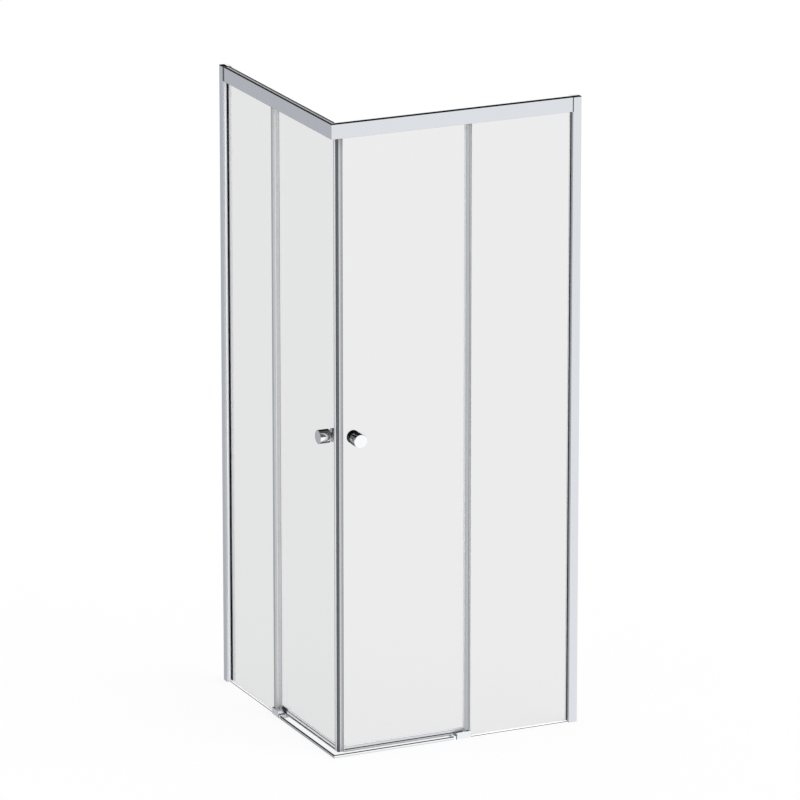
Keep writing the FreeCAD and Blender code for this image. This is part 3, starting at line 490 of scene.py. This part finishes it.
def plate(graph, colour):
    """Chrome plate, its gloss varying a little from spot to spot."""
    gloss = cloud(graph, scale=160.0, detail=2.0, low=0.3, high=0.7, at_low=0.03, at_high=0.06)
    surface(graph, graph.node("ShaderNodeBsdfPrincipled", Base_Color=colour, Metallic=1.0, Roughness=gloss))


def moulded(graph, colour, roughness, glow=0.0):
    """Plastic or rubber with a fine moulded texture; its colour may vary over the piece.

    The glow is painted light: emission that stands for the light coming through a translucent piece.
    """
    surface(graph, graph.node(
        "ShaderNodeBsdfPrincipled", Base_Color=colour, Roughness=roughness,
        Emission_Color=colour, Emission_Strength=glow,
        Normal=grain(graph, EVEN, scale=1400.0, strength=0.08, distance=0.0001)))


def plain(name, colour, roughness):
    """A plastic or rubber of one colour, a little cloudy."""
    material, graph = new_material(name)
    darker = tuple(value * 0.9 for value in colour[:3]) + (1.0,)
    patches = cloud(graph, scale=220.0, detail=3.0, low=0.35, high=0.65)
    moulded(graph, graph.blend(patches, darker, colour), roughness)
    return material


# The narrow faces of both sides carry plain greys of painted light, shade and reflection, which differ from
# side to side.
# The limits between them are distances along the side, inboard or up.
def header_finish(side):
    """Bright aluminium; along the top, over the shallow groove and the edges beside it, greys of painted
    reflection.
    """
    material, graph = new_material(f"Header rail {side}")
    along, inboard, up = graph.corner_place()
    edge, groove = 0.0015, (0.0065, 0.0135)
    # the top's greys are painted reflection: dark and paler bands that differ from side to side
    levels = {"front": (0.002, 0.002, 0.90), "left": (0.02, 0.42, 0.03)}[side]
    top = up.above(corner_box("header_rail")[1][UP] - edge)
    colour = graph.blend(top, chosen().aluminium, bands(graph, inboard, groove, levels))
    if side == "left":  # painted shade in the gap before the post
        end = corner_box("header_rail")[1][ALONG]
        gap_shade_from, gap_shade_to = end - 0.0105, end - 0.0065
        gap_shade = graph.ramp(along, gap_shade_from, gap_shade_to)
        top = top.largest(gap_shade)
        colour = graph.blend(gap_shade, colour, grey(0.07))
    bright_metal(graph, colour, top)
    return material


def post_finish(side):
    """Bright aluminium; the return behind the pane in plain greys of painted shade and highlight, black
    where the pane's edge sits.
    """
    material, graph = new_material(f"Wall post {side}")
    along, inboard, up = graph.corner_place()
    flank_depth, gap_shade_depth, return_start, lip_limits = 0.0012, 0.0016, 0.0168, (0.0045, 0.0108)
    pane, back = {"front": 0.0178, "left": 0.0192}[side], 0.0246
    # painted shade, black up to the pane's edge, then a painted highlight further back, paler in front than
    # on the left
    levels = {"front": (0.004, 0.97, 0.97), "left": (0.004, 0.85, 0.97)}[side]
    face = corner_box("wall_post")[0][ALONG]
    header_foot = corner_box("header_rail")[0][UP]
    flank = along.below(face + flank_depth)
    # a painted shade in the gap where the post meets the header
    gap_shade = along.below(face + gap_shade_depth) * up.above(header_foot)
    behind = (inboard.above(return_start) * flank).largest(gap_shade)
    greys = graph.blend(gap_shade, bands(graph, inboard, (pane, back), levels), grey(0.15))
    if side == "left":  # a painted highlight on the lip before the gasket
        lip = graph.band(inboard, *lip_limits) * flank
        behind = behind.largest(lip)
        greys = graph.blend(lip, greys, grey(0.95))
    bright_metal(graph, graph.blend(behind, chosen().aluminium, greys), behind)
    return material


def gasket_finish(side):
    """Black rubber with a paler outer lip, a painted highlight that is lighter on the left."""
    material, graph = new_material(f"Post gasket {side}")
    _, inboard, _ = graph.corner_place()
    lip, tone = 0.0112, {"front": 0.26, "left": 0.6}[side]
    moulded(graph, bands(graph, inboard, (lip,), (tone, 0.003)), roughness=0.5)
    return material


def cap_finish(side):
    """The post's end cap: black in front, pale behind."""
    material, graph = new_material(f"End cap {side}")
    _, inboard, _ = graph.corner_place()
    front, back, limit = (0.006, 0.006, 0.007, 1.0), (0.93, 0.93, 0.93, 1.0), 0.0153
    moulded(graph, graph.blend(graph.step(inboard, limit, soft=0.0003), front, back), roughness=0.4)
    return material


def sill_finish(side):
    """Bright aluminium in greys of painted reflection that differ from side to side: paler above its foot,
    dark along its crest.
    """
    material, graph = new_material(f"Threshold strip {side}")
    _, _, up = graph.corner_place()
    foot_height = 0.00375
    crest_height, foot, flank = {
        "front": (0.00725, chosen().aluminium, WHITE),
        "left": (0.00585, (0.52, 0.53, 0.55, 1.0), (0.9, 0.91, 0.93, 1.0)),
    }[side]
    colour = graph.blend(graph.step(up, foot_height, soft=0.00025), foot, flank)
    # a dark strip of painted reflection along the crest
    crest = graph.step(up, crest_height, soft=0.00015)
    bright_metal(graph, graph.blend(crest, colour, grey(0.008)), crest)
    return material


TRAILING_SHADOW = (0.388, 0.426)  # where a painted shadow falls at the foot of the left door's trailing end, along its side


def rail_finish(side):
    """Satin aluminium in painted greys: pale at the back, and greys up the face with a fine dark line above
    its foot.
    """
    material, graph = new_material(f"Bottom rail {side}")
    along, inboard, up = graph.corner_place()
    # painted light and shade: the pale back and top, the left's lighter greys, and dark lines above the foot
    # and at the top edge
    depth, limits, levels = {
        "front": (0.0009, (0.0126, 0.0158, 0.0221), (0.68, 0.012, 0.78, 0.30)),
        "left": (0.0029, (0.0117, 0.0153, 0.0225), (0.78, 0.012, 1.0, 0.02)),
    }[side]
    colour = bands(graph, up, limits, levels)
    # a painted shadow near the left door's trailing end
    if side == "left":
        shadow_foot = 0.0145
        shadow = graph.band(along, *TRAILING_SHADOW) * up.above(shadow_foot)
        colour = graph.blend(shadow, colour, grey(0.05))
    outside = inboard.below(corner_box("bottom_rail")[0][INBOARD] + depth)
    metal(graph, graph.blend(outside, grey(0.9), colour), roughness=0.4, metallic=0.1)
    return material


def leading_finish(side):
    """Satin aluminium, paler from the nose to the line down its face; the front one has a painted highlight
    on its rim.
    """
    material, graph = new_material(f"Leading stile {side}")
    along, _, _ = graph.corner_place()
    line, rim = (0.037, 0.0425), 0.0471
    # greys of painted light that differ from side to side
    levels = {"front": (0.60, 0.46, 0.33, 0.92), "left": (0.90, 0.88, 0.50, 0.50)}[side]
    metal(graph, bands(graph, along, (*line, rim), levels), roughness=0.42, metallic=0.15)
    return material


def fixed_stile_finish(side):
    """Satin aluminium: on the face a darker lip, a painted highlight on its rim, a painted shadow at its
    foot; pale at the back.
    """
    material, graph = new_material(f"Pane stile {side}")
    along, inboard, up = graph.corner_place()
    (_, front, bottom), (end, _, _) = corner_box("fixed_stile")
    lip_width, rim_width, foot_width, foot_height = 0.0039, 0.0010, 0.0095, 0.0027
    face_depth, back_edge = 0.0003, 0.0165
    lip = graph.step(along, end - lip_width, soft=0.0003)
    # a painted shadow at the stile's foot
    foot = along.above(end - foot_width) * (1.0 - graph.step(up, bottom + foot_height, soft=0.0003))
    face = graph.blend(foot, graph.blend(lip, grey(0.45), grey(0.23)), SHADED)
    # a painted highlight along the rim
    face = graph.blend(along.above(end - rim_width), face, grey(0.92))
    behind = graph.step(inboard, front + face_depth)
    # pale at the back, with a painted highlight beyond the back edge
    back = bands(graph, inboard, (back_edge,), (0.66, 1.0))
    metal(graph, graph.blend(behind, face, back), roughness=0.42, metallic=0.2)
    return material


def trailing_finish(side):
    """Satin aluminium whose face is dark with painted shade, with a painted highlight on the rim at its end.
    """
    material, graph = new_material(f"Trailing stile {side}")
    along, inboard, _ = graph.corner_place()
    (_, front, _), (end, _, _) = corner_box("trailing_stile")
    face_depth, rim_width = 0.0004, 0.0025
    # painted shade on the face, a painted highlight on the rim, and greys behind that differ from side to
    # side
    face = bands(graph, along, (end - rim_width,), (0.22, 0.97))
    behind = grey({"front": 0.42, "left": 0.50}[side])
    outside = inboard.below(front + face_depth)
    metal(graph, graph.blend(outside, behind, face), roughness=0.4, metallic=0.1)
    return material


def fin_finish(side):
    """The pale soft fin between fixed stile and door, its grey differing from side to side as painted light.
    """
    return plain(f"Fin seal {side}", grey({"front": 0.96, "left": 0.66}[side]), roughness=0.4)


def foot_seal_finish(side):
    """A pale seal with a painted glow for the light it lets through, and a dark line of painted shade along
    its foot.
    """
    material, graph = new_material(f"Foot seal {side}")
    _, _, up = graph.corner_place()
    line = {"front": 0.0020, "left": 0.0024}[side]
    # painted shade in a dark line along the foot, and a painted glow above it
    moulded(graph, bands(graph, up, (line,), (0.01, 0.98)), roughness=0.35, glow=0.25)
    return material


def guide_finish(side):
    """Metallised plastic; its low end is pale, with a dark line across where that end stops."""
    material, graph = new_material(f"Door guide {side}")
    along, _, _ = graph.corner_place()
    start = corner_box("door_guide")[0][ALONG]
    end_length, line = 0.00975, start + {"front": 0.0068, "left": 0.0048}[side]
    end = 1.0 - graph.step(along, start + end_length, soft=0.00025)
    colour = graph.blend(end, (0.90, 0.905, 0.92, 1.0), bands(graph, along, (line,), (0.95, 0.01)))
    metal(graph, colour, roughness=0.22, metallic=1.0 - end, stretch=EVEN)
    return material


def knob_finish(side):
    """Chrome plate; the left knob's face darker, a painted reflection."""
    material, graph = new_material(f"Knob {side}")
    _, inboard, _ = graph.corner_place()
    face_depth = 0.0004
    face = inboard.below(corner_box("knob_outer")[0][INBOARD] + face_depth)
    # the face's tone is painted reflection, darker on the left
    tone = {"front": (0.98, 0.985, 0.99, 1.0), "left": (0.70, 0.69, 0.70, 1.0)}[side]
    plate(graph, graph.blend(face, chosen().chrome, tone))
    return material


def inner_knob_finish(side):
    """Chrome plate, dark on the front door as painted shade."""
    material, graph = new_material(f"Inner knob {side}")
    plate(graph, {"front": (0.05, 0.05, 0.055, 1.0), "left": (0.9, 0.9, 0.91, 1.0)}[side])
    return material


BENDING = 1.5  # the index of glass
MIRRORING = 1.33  # the index that its mirror is worked out with, a little weaker than glass


def glass(name, bead=0.0, face=1.0, shadow_span=(0.0, 0.0)):
    """Toughened glass: mirror-like at a glance, and dimmer the longer the way through a pane.

    A face lets through T to the power 1 / c, where T is the tint, c = sqrt(1 - (s / bending) squared) is
    the cosine inside the glass and s the sine of the angle the face is seen at. The strip beside the post
    has no mirror, so that the gasket shows black. Up to the height of the bead, and no further inboard
    than face, the glass is hidden by white sealant, which carries a painted shadow between the two ends
    of shadow_span.
    """
    material, graph = new_material(name)
    along, inboard, up = graph.corner_place()
    clear = graph.node("ShaderNodeBsdfTransparent", Color=WHITE)
    dark = graph.node("ShaderNodeBsdfTransparent", Color=BLACK)
    mirror = graph.node("ShaderNodeBsdfGlossy", Color=WHITE, Roughness=0.0)
    pale = graph.node("ShaderNodeBsdfDiffuse", Color=grey(0.97))
    # painted shadow on the sealant near the trailing end
    black = graph.node("ShaderNodeBsdfDiffuse", Color=grey(0.07))
    sealant = graph.mix_shaders(graph.band(along, *shadow_span), pale, black)
    cosine = 1.0 - graph.number(graph.node("ShaderNodeLayerWeight", Blend=0.5), "Facing")
    inner = (1.0 - (1.0 - cosine.squared()) / BENDING ** 2).maths("SQRT")
    passed = (1.0 / inner).maths("POWER", first=chosen().glass_tint)
    through = graph.mix_shaders(1.0 - passed, clear, dark)
    glance = graph.number(graph.node("ShaderNodeFresnel", IOR=MIRRORING))
    outside = 1.0 - graph.number(graph.node("ShaderNodeNewGeometry"), "Backfacing")
    strip = 0.0135
    clear_of_post = along.below(corner_box("wall_post")[0][ALONG] - strip)
    pane = graph.mix_shaders(glance * outside * clear_of_post, through, mirror)
    surface(graph, graph.mix_shaders(up.below(bead) * inboard.below(face), pane, sealant))
    return material


def door_glass_finish(side):
    """Clear glass, bedded in pale sealant along the bottom rail; the left one's only on the outer face, with
    a painted shadow.
    """
    rail_top = corner_box("bottom_rail")[1][UP]
    bead = rail_top + {"front": 0.0014, "left": 0.0046}[side]
    if side == "front":
        return glass("Door glass front", bead)
    outer_face = corner_box("door_glass")[0][INBOARD] + 0.001
    return glass("Door glass left", bead, outer_face, TRAILING_SHADOW)


def clear_glass():
    """The fixed panes."""
    return glass("Clear glass")


def mill_aluminium():
    """Wall channels and the corner key, as they leave the press."""
    material, graph = new_material("Plain aluminium")
    metal(graph, (0.62, 0.63, 0.64, 1.0), roughness=0.38)
    return material


def chrome():
    """The roller hangers' plate."""
    material, graph = new_material("Chrome plate")
    plate(graph, chosen().chrome)
    return material


def screw_steel():
    """Screws and axles."""
    material, graph = new_material("Turned steel")
    metal(graph, chosen().steel, roughness=0.3, stretch=EVEN)
    return material


def clear_seal():
    """Drip seals, header gaskets and washers."""
    return plain("Clear seal", chosen().seal, roughness=0.3)


def black_rubber():
    """The stops in the roller track."""
    return plain("Black rubber", chosen().rubber, roughness=0.5)


def dark_magnet():
    """The magnetic seals where the doors meet."""
    return plain("Magnetic seal", chosen().magnet, roughness=0.35)


def white_nylon():
    """The rollers."""
    return plain("Nylon", chosen().nylon, roughness=0.35)


OWN_FINISHES = {
    "header_rail": header_finish,
    "wall_post": post_finish,
    "post_gaskets": gasket_finish,
    "post_cap": cap_finish,
    "sill_strip": sill_finish,
    "bottom_rail": rail_finish,
    "leading_stile": leading_finish,
    "fixed_stile": fixed_stile_finish,
    "trailing_stile": trailing_finish,
    "overlap_seal": fin_finish,
    "bottom_seal": foot_seal_finish,
    "door_guide": guide_finish,
    "door_glass": door_glass_finish,
    "knob_outer": knob_finish,
    "knob_inner": inner_knob_finish,
}
SLOT_FINISHES = {
    "clear_glass": clear_glass,
    "mill_aluminium": mill_aluminium,
    "chrome": chrome,
    "screw_steel": screw_steel,
    "clear_seal": clear_seal,
    "black_rubber": black_rubber,
    "dark_magnet": dark_magnet,
    "white_nylon": white_nylon,
}


def dress(thing, material):
    """Give a mesh one material."""
    thing.data.materials.clear()
    thing.data.materials.append(material)


class ENCLOSURE_OT_finishes(bpy.types.Operator):
    """Give every piece of the frame its finish"""

    bl_idname = "enclosure.finishes"
    bl_label = "Finish the pieces"

    def execute(self, context):
        by_piece = {f"{side}_{piece}": make(side) for piece, make in OWN_FINISHES.items() for side in SIDES}
        by_slot = {slot: make() for slot, make in SLOT_FINISHES.items()}
        for subpart in frame["record"]["subparts"]:
            node = subpart["node"]
            dress(frame["nodes"][node], by_piece.get(node) or by_slot[subpart["material_slot"]])
        return {"FINISHED"}


# ---------------------------------------------------------------------------
# Turned pieces
# ---------------------------------------------------------------------------
OUTER_BORE = 0.010  # depth of the bore in the outer knob
INNER_NECK = 0.002  # length of the inner knob's neck, which its bore passes


class ENCLOSURE_OT_knobs(bpy.types.Operator):
    """Turn the knobs with softened edges"""

    bl_idname = "enclosure.knobs"
    bl_label = "Knobs"

    def execute(self, context):
        sizes = context.scene.enclosure_turned
        for side in SIDES:
            self.knob(side, "knob_outer", sizes.knob_body, OUTER_BORE, 1.0, sizes)
            self.knob(side, "knob_inner", sizes.inner_body, sizes.inner_body / 2 + INNER_NECK, -1.0, sizes)
        return {"FINISHED"}

    def knob(self, side, node, body, depth, inward, sizes):
        """A body, a neck and a blind bore of that depth, from the middle of the face.

        inward is 1 where the neck lies inboard of the face, and -1 where it lies outboard.
        """
        low, high = box_of(side, node)
        middle = (low + high) / 2
        radius = (high[UP] - low[UP]) / 2
        length = high[INBOARD] - low[INBOARD]
        crown, flat, rim = 0.0002, radius * 0.86, radius * 0.9
        fillet, fillet_length = 0.0008, 0.0006
        outline = rounded([
            (0.0, 0.0), (flat, 0.0), (rim, crown), (radius, crown), (radius, body),
            (sizes.knob_neck + fillet, body), (sizes.knob_neck, body + fillet_length),
            (sizes.knob_neck, length),
            (sizes.knob_bore, length), (sizes.knob_bore, length - depth), (0.0, length - depth),
        ], sizes.knob_edge)
        points, faces = turned(outline, sizes.segments)
        start = low[INBOARD] if inward > 0 else high[INBOARD]
        points = points * (1.0, inward, 1.0) + (middle[ALONG], start, middle[UP])
        new_piece("turned_" + node, side, [(points, faces)], f"{side}_door", node)


class ENCLOSURE_OT_rollers(bpy.types.Operator):
    """Turn the rollers with their groove and hub"""

    bl_idname = "enclosure.rollers"
    bl_label = "Rollers"

    def execute(self, context):
        sizes = context.scene.enclosure_turned
        for side in SIDES:
            for place in ("lead", "trail"):
                self.roller(side, place, sizes)
        return {"FINISHED"}

    def roller(self, side, place, sizes):
        """A closed outline round the bore: sunk seat, flange, groove, flange and dished back."""
        node = f"roller_wheel_{place}"
        low, high = box_of(side, node)
        middle = (low + high) / 2
        radius = (high[UP] - low[UP]) / 2
        width = high[INBOARD] - low[INBOARD]
        bore, tread = sizes.roller_bore, sizes.tread
        seat, sink, rim, half_tread, dish, easing = 0.0045, 0.0016, 0.0008, 0.0011, 0.0004, 0.00025
        ring, ring_foot, hub_foot, hub = (radius * share for share in (0.82, 0.78, 0.50, 0.46))
        floor = width - dish
        outline = [
            (bore, width / 2), (bore, sink), (seat, sink), (seat, 0.0), (radius, 0.0), (radius, rim),
            (tread, width / 2 - half_tread), (tread, width / 2 + half_tread),
            (radius, width - rim), (radius, width), (ring, width), (ring_foot, floor),
            (hub_foot, floor), (hub, width), (bore, width), (bore, width / 2),
        ]
        points, faces = turned(rounded(outline, easing, steps=4), sizes.segments)
        points = points + (middle[ALONG], low[INBOARD], middle[UP])
        new_piece(
            f"turned_roller_{place}", side, [(points, faces)], f"{side}_roller_{place}", node)


POST_SCREWS = (0.15, 0.95, 1.75)  # heights of the screws that hold a post to its channel


class ENCLOSURE_OT_screws(bpy.types.Operator):
    """Turn the frame screws with domed, cross-recessed heads"""

    bl_idname = "enclosure.screws"
    bl_label = "Frame screws"

    def execute(self, context):
        sizes = context.scene.enclosure_turned
        for side in SIDES:
            shells = [self.post_screw(side, level, sizes) for level in POST_SCREWS]
            shells += self.header_screws(side, sizes)
            new_piece("turned_frame_screws", side, shells, "enclosure", "frame_screws")
        return {"FINISHED"}

    def post_screw(self, side, level, sizes):
        """A domed head, its height falling with the square of the radius, with a cross sunk in it."""
        head, shank, tall, fall, length, from_wall = 0.0036, 0.0018, 0.0018, 0.75, 0.007, 0.008
        arm_half, arm_steep, reach, slope = 0.0006, 1.8, 0.0021, 0.0007
        radii = np.linspace(0.0, head, 26)
        dome = np.stack([radii, tall * (1 - fall * (radii / head) ** 2)], axis=1)
        foot = np.array([(head, 0.0), (shank, 0.0), (shank, -length), (0.0, -length)])
        outline = np.concatenate([dome, foot])

        def cross(across, up):
            """How far the dome sinks: two crossed arms with sloping walls, fading out at their reach."""
            arm = np.clip(1 - np.minimum(abs(across), abs(up)) / arm_half, 0.0, 1.0)
            fade = np.clip((reach - np.hypot(across, up)) / slope, 0.0, 1.0)
            sunk = -sizes.recess * np.minimum(arm * arm_steep, 1.0) * fade
            return sunk * (np.arange(len(outline)) < len(dome))[:, None]

        points, faces = turned(outline, sizes.segments, cross)
        wall_end = box_of(side, "wall_post")[1]
        return points + (wall_end[ALONG] - from_wall, wall_end[INBOARD], level), faces

    def header_screws(self, side, sizes):
        """Plain heads and shanks along the header rail, hidden in the post."""
        head, tall, shank, length, easing = 0.0027, 0.0018, 0.00155, 0.019, 0.0004
        post_wall, port_inboard, upper_port, lower_port = 0.0016, 0.005, 0.005, 0.0175
        header_low, header_high = box_of(side, "header_rail")
        seat = box_of(side, "wall_post")[0][ALONG] + post_wall
        outline = rounded([
            (0.0, tall), (head, tall), (head, 0.0), (shank, 0.0), (shank, -length), (0.0, -length),
        ], easing)
        points, faces = turned(outline, sizes.segments // 2)
        points = points[:, [1, 0, 2]]
        levels = (header_high[UP] - upper_port, header_low[UP] + lower_port)
        return [(points + (seat, header_low[INBOARD] + port_inboard, level), faces) for level in levels]


# ---------------------------------------------------------------------------
# Stage and camera
# ---------------------------------------------------------------------------
DIM_WALL = (0.548, 0.569, 0.60, 1.0)
LIT_WALL = (0.955, 0.98, 0.995, 1.0)
HORIZON = 0.05  # where the bright lower half of the room ends; directions have a length of 1
UPPER_FRONT, UPPER_BACK = 0.12, 0.01  # the light of its upper half, in front and behind
BACK_FROM = 0.7  # how far behind the upper half is darkest
# Each field of the room has its direction, and how far from it the field's edge begins and ends.
WINDOW = ((-0.45, 0.87, 0.14), 0.16, 0.26)
DARK_FIELDS = (((0.15, 0.87, -0.47), 0.38, 0.46), ((0.41, 0.20, -0.89), 0.28, 0.38))
WINDOW_LIGHT, DARK_LIGHT = 0.38, 0.02
TOWARD_KEY = (0.6, -0.8, 1.1)


class ENCLOSURE_OT_stage(bpy.types.Operator):
    """Build the floor, the light and the camera"""

    bl_idname = "enclosure.stage"
    bl_label = "Build the stage"

    def execute(self, context):
        studio = context.scene.enclosure_studio
        self.floor(studio)
        self.world(context, studio)
        self.key_light(context, studio)
        self.camera(context)
        return {"FINISHED"}

    def seen(self, graph):
        """1 on what the camera sees, also through the panes."""
        path = graph.node("ShaderNodeLightPath")
        return graph.number(path, "Is Camera Ray").largest(graph.number(path, "Is Transmission Ray"))

    def floor(self, studio):
        """A level square floor under the posts."""
        reach = studio.floor_reach
        level = float(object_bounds()[0][UP])
        mesh = bpy.data.meshes.new("floor")
        corners = [(x * reach, y * reach, level) for x, y in ((-1, -1), (1, -1), (1, 1), (-1, 1))]
        mesh.from_pydata(corners, [], [(0, 1, 2, 3)])
        floor = bpy.data.objects.new("floor", mesh)
        bpy.context.collection.objects.link(floor)
        material, graph = new_material("Floor")
        white = studio.floor_white
        lit = graph.node("ShaderNodeBsdfDiffuse", Color=(white, white, white, 1.0))
        shown = graph.node("ShaderNodeEmission", Color=WHITE, Strength=1.0)
        surface(graph, graph.mix_shaders(self.seen(graph) * studio.floor_glow, lit, shown))
        dress(floor, material)
        floor.visible_glossy = False
        floor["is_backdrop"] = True

    def world(self, context, studio):
        """White where the camera looks, an even dome for soft light, and a room in reflections.

        The room is dark above, with a window behind on the left, brighter on the right than on the left,
        and has two dark fields low down.
        """
        world = bpy.data.worlds.new("Studio")
        context.scene.world = world
        world.use_nodes = True
        graph = Graph(world.node_tree)
        direction = graph.node("ShaderNodeTexCoord").outputs["Generated"]
        split = graph.node("ShaderNodeSeparateXYZ", Vector=direction)
        aside, inward, up = (graph.number(split, axis) for axis in "XYZ")
        rightward = aside * 0.5 - inward * 0.8
        walls = graph.blend(graph.ramp(rightward, -0.6, 0.5), DIM_WALL, LIT_WALL)
        lower = 1.0 - graph.step(up, HORIZON, soft=0.07)
        window = self.field(graph, direction, *WINDOW, WINDOW_LIGHT, 0.0)
        upper = graph.ramp(inward, 0.0, BACK_FROM, UPPER_FRONT, UPPER_BACK).largest(window)
        room = lower + (1.0 - lower) * upper
        for dark_field in DARK_FIELDS:
            room = room * self.field(graph, direction, *dark_field, DARK_LIGHT, 1.0)
        seen = self.seen(graph)
        glossy = graph.number(graph.node("ShaderNodeLightPath"), "Is Glossy Ray")
        glow = graph.mix("FLOAT", glossy, studio.dome, room)
        background = graph.node(
            "ShaderNodeBackground", Color=graph.blend(glossy * (1.0 - seen), WHITE, walls),
            Strength=graph.mix("FLOAT", seen, glow, 1.0))
        graph.node("ShaderNodeOutputWorld", Surface=background)

    def field(self, graph, direction, place, inner, outer, within, beyond):
        """One value within a distance of a direction in the room, and another beyond it."""
        apart = graph.node("ShaderNodeVectorMath", {"operation": "DISTANCE"})
        graph.feed(apart.inputs[0], direction)
        graph.feed(apart.inputs[1], place)
        return graph.ramp(graph.number(apart, "Value"), inner, outer, within, beyond)

    def key_light(self, context, studio):
        """A wide soft sun from the front right."""
        light = bpy.data.lights.new("key", "SUN")
        light.energy = studio.key
        light.angle = studio.key_spread
        lamp = bpy.data.objects.new("key", light)
        context.collection.objects.link(lamp)
        lamp.rotation_euler = Vector(TOWARD_KEY).to_track_quat("Z", "Y").to_euler()
        lamp.visible_glossy = False
        lamp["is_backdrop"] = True

    def camera(self, context):
        """The photograph's camera, aimed beside and above the middle of the outer corner."""
        view = context.scene.enclosure_view
        low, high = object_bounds()
        corner = outer_corner()
        middle = Vector((*corner, (low[UP] + high[UP]) / 2))
        azimuth, elevation = view.azimuth, view.elevation
        back = Vector((
            math.sin(azimuth) * math.cos(elevation),
            -math.cos(azimuth) * math.cos(elevation),
            math.sin(elevation)))
        right = Vector((math.cos(azimuth), math.sin(azimuth), 0.0))
        above = back.cross(right)
        data = bpy.data.cameras.new("photo_camera")
        data.lens = view.lens
        data.sensor_width = 36.0
        data.clip_end = 200.0
        camera = bpy.data.objects.new("photo_camera", data)
        context.collection.objects.link(camera)
        spot = middle + back * view.distance + right * view.aim_aside + above * view.aim_above
        turn = Matrix((right, above, back)).transposed().to_4x4()
        camera.matrix_world = Matrix.Translation(spot) @ turn
        context.scene.camera = camera
        context.scene.view_settings.view_transform = "Standard"


STEPS = (
    ENCLOSURE_OT_finishes,
    ENCLOSURE_OT_knobs,
    ENCLOSURE_OT_rollers,
    ENCLOSURE_OT_screws,
    ENCLOSURE_OT_stage,
)
SETTINGS = {
    "enclosure_view": PhotoViewSettings,
    "enclosure_studio": StudioSettings,
    "enclosure_turned": TurnedSettings,
    "enclosure_finish": FinishSettings,
}


class ENCLOSURE_PT_panel(bpy.types.Panel):
    """Buttons for each step, and the sizes and colours behind them"""

    bl_idname = "ENCLOSURE_PT_panel"
    bl_label = "Shower Enclosure"
    bl_space_type = "VIEW_3D"
    bl_region_type = "UI"
    bl_category = "Enclosure"

    def draw(self, context):
        for step in STEPS:
            self.layout.operator(step.bl_idname)
        for group, settings in SETTINGS.items():
            for name in settings.__annotations__:
                self.layout.prop(getattr(context.scene, group), name)


CLASSES = (*SETTINGS.values(), *STEPS, ENCLOSURE_PT_panel)


def register():
    for cls in CLASSES:
        bpy.utils.register_class(cls)
    for group, settings in SETTINGS.items():
        setattr(bpy.types.Scene, group, bpy.props.PointerProperty(type=settings))


def unregister():
    for group in SETTINGS:
        delattr(bpy.types.Scene, group)
    for cls in reversed(CLASSES):
        bpy.utils.unregister_class(cls)


def main():
    """Build the whole scene, step by step."""
    register()
    bpy.ops.enclosure.finishes()
    bpy.ops.enclosure.knobs()
    bpy.ops.enclosure.rollers()
    bpy.ops.enclosure.screws()
    bpy.ops.enclosure.stage()


if __name__ == "__main__":
    main()
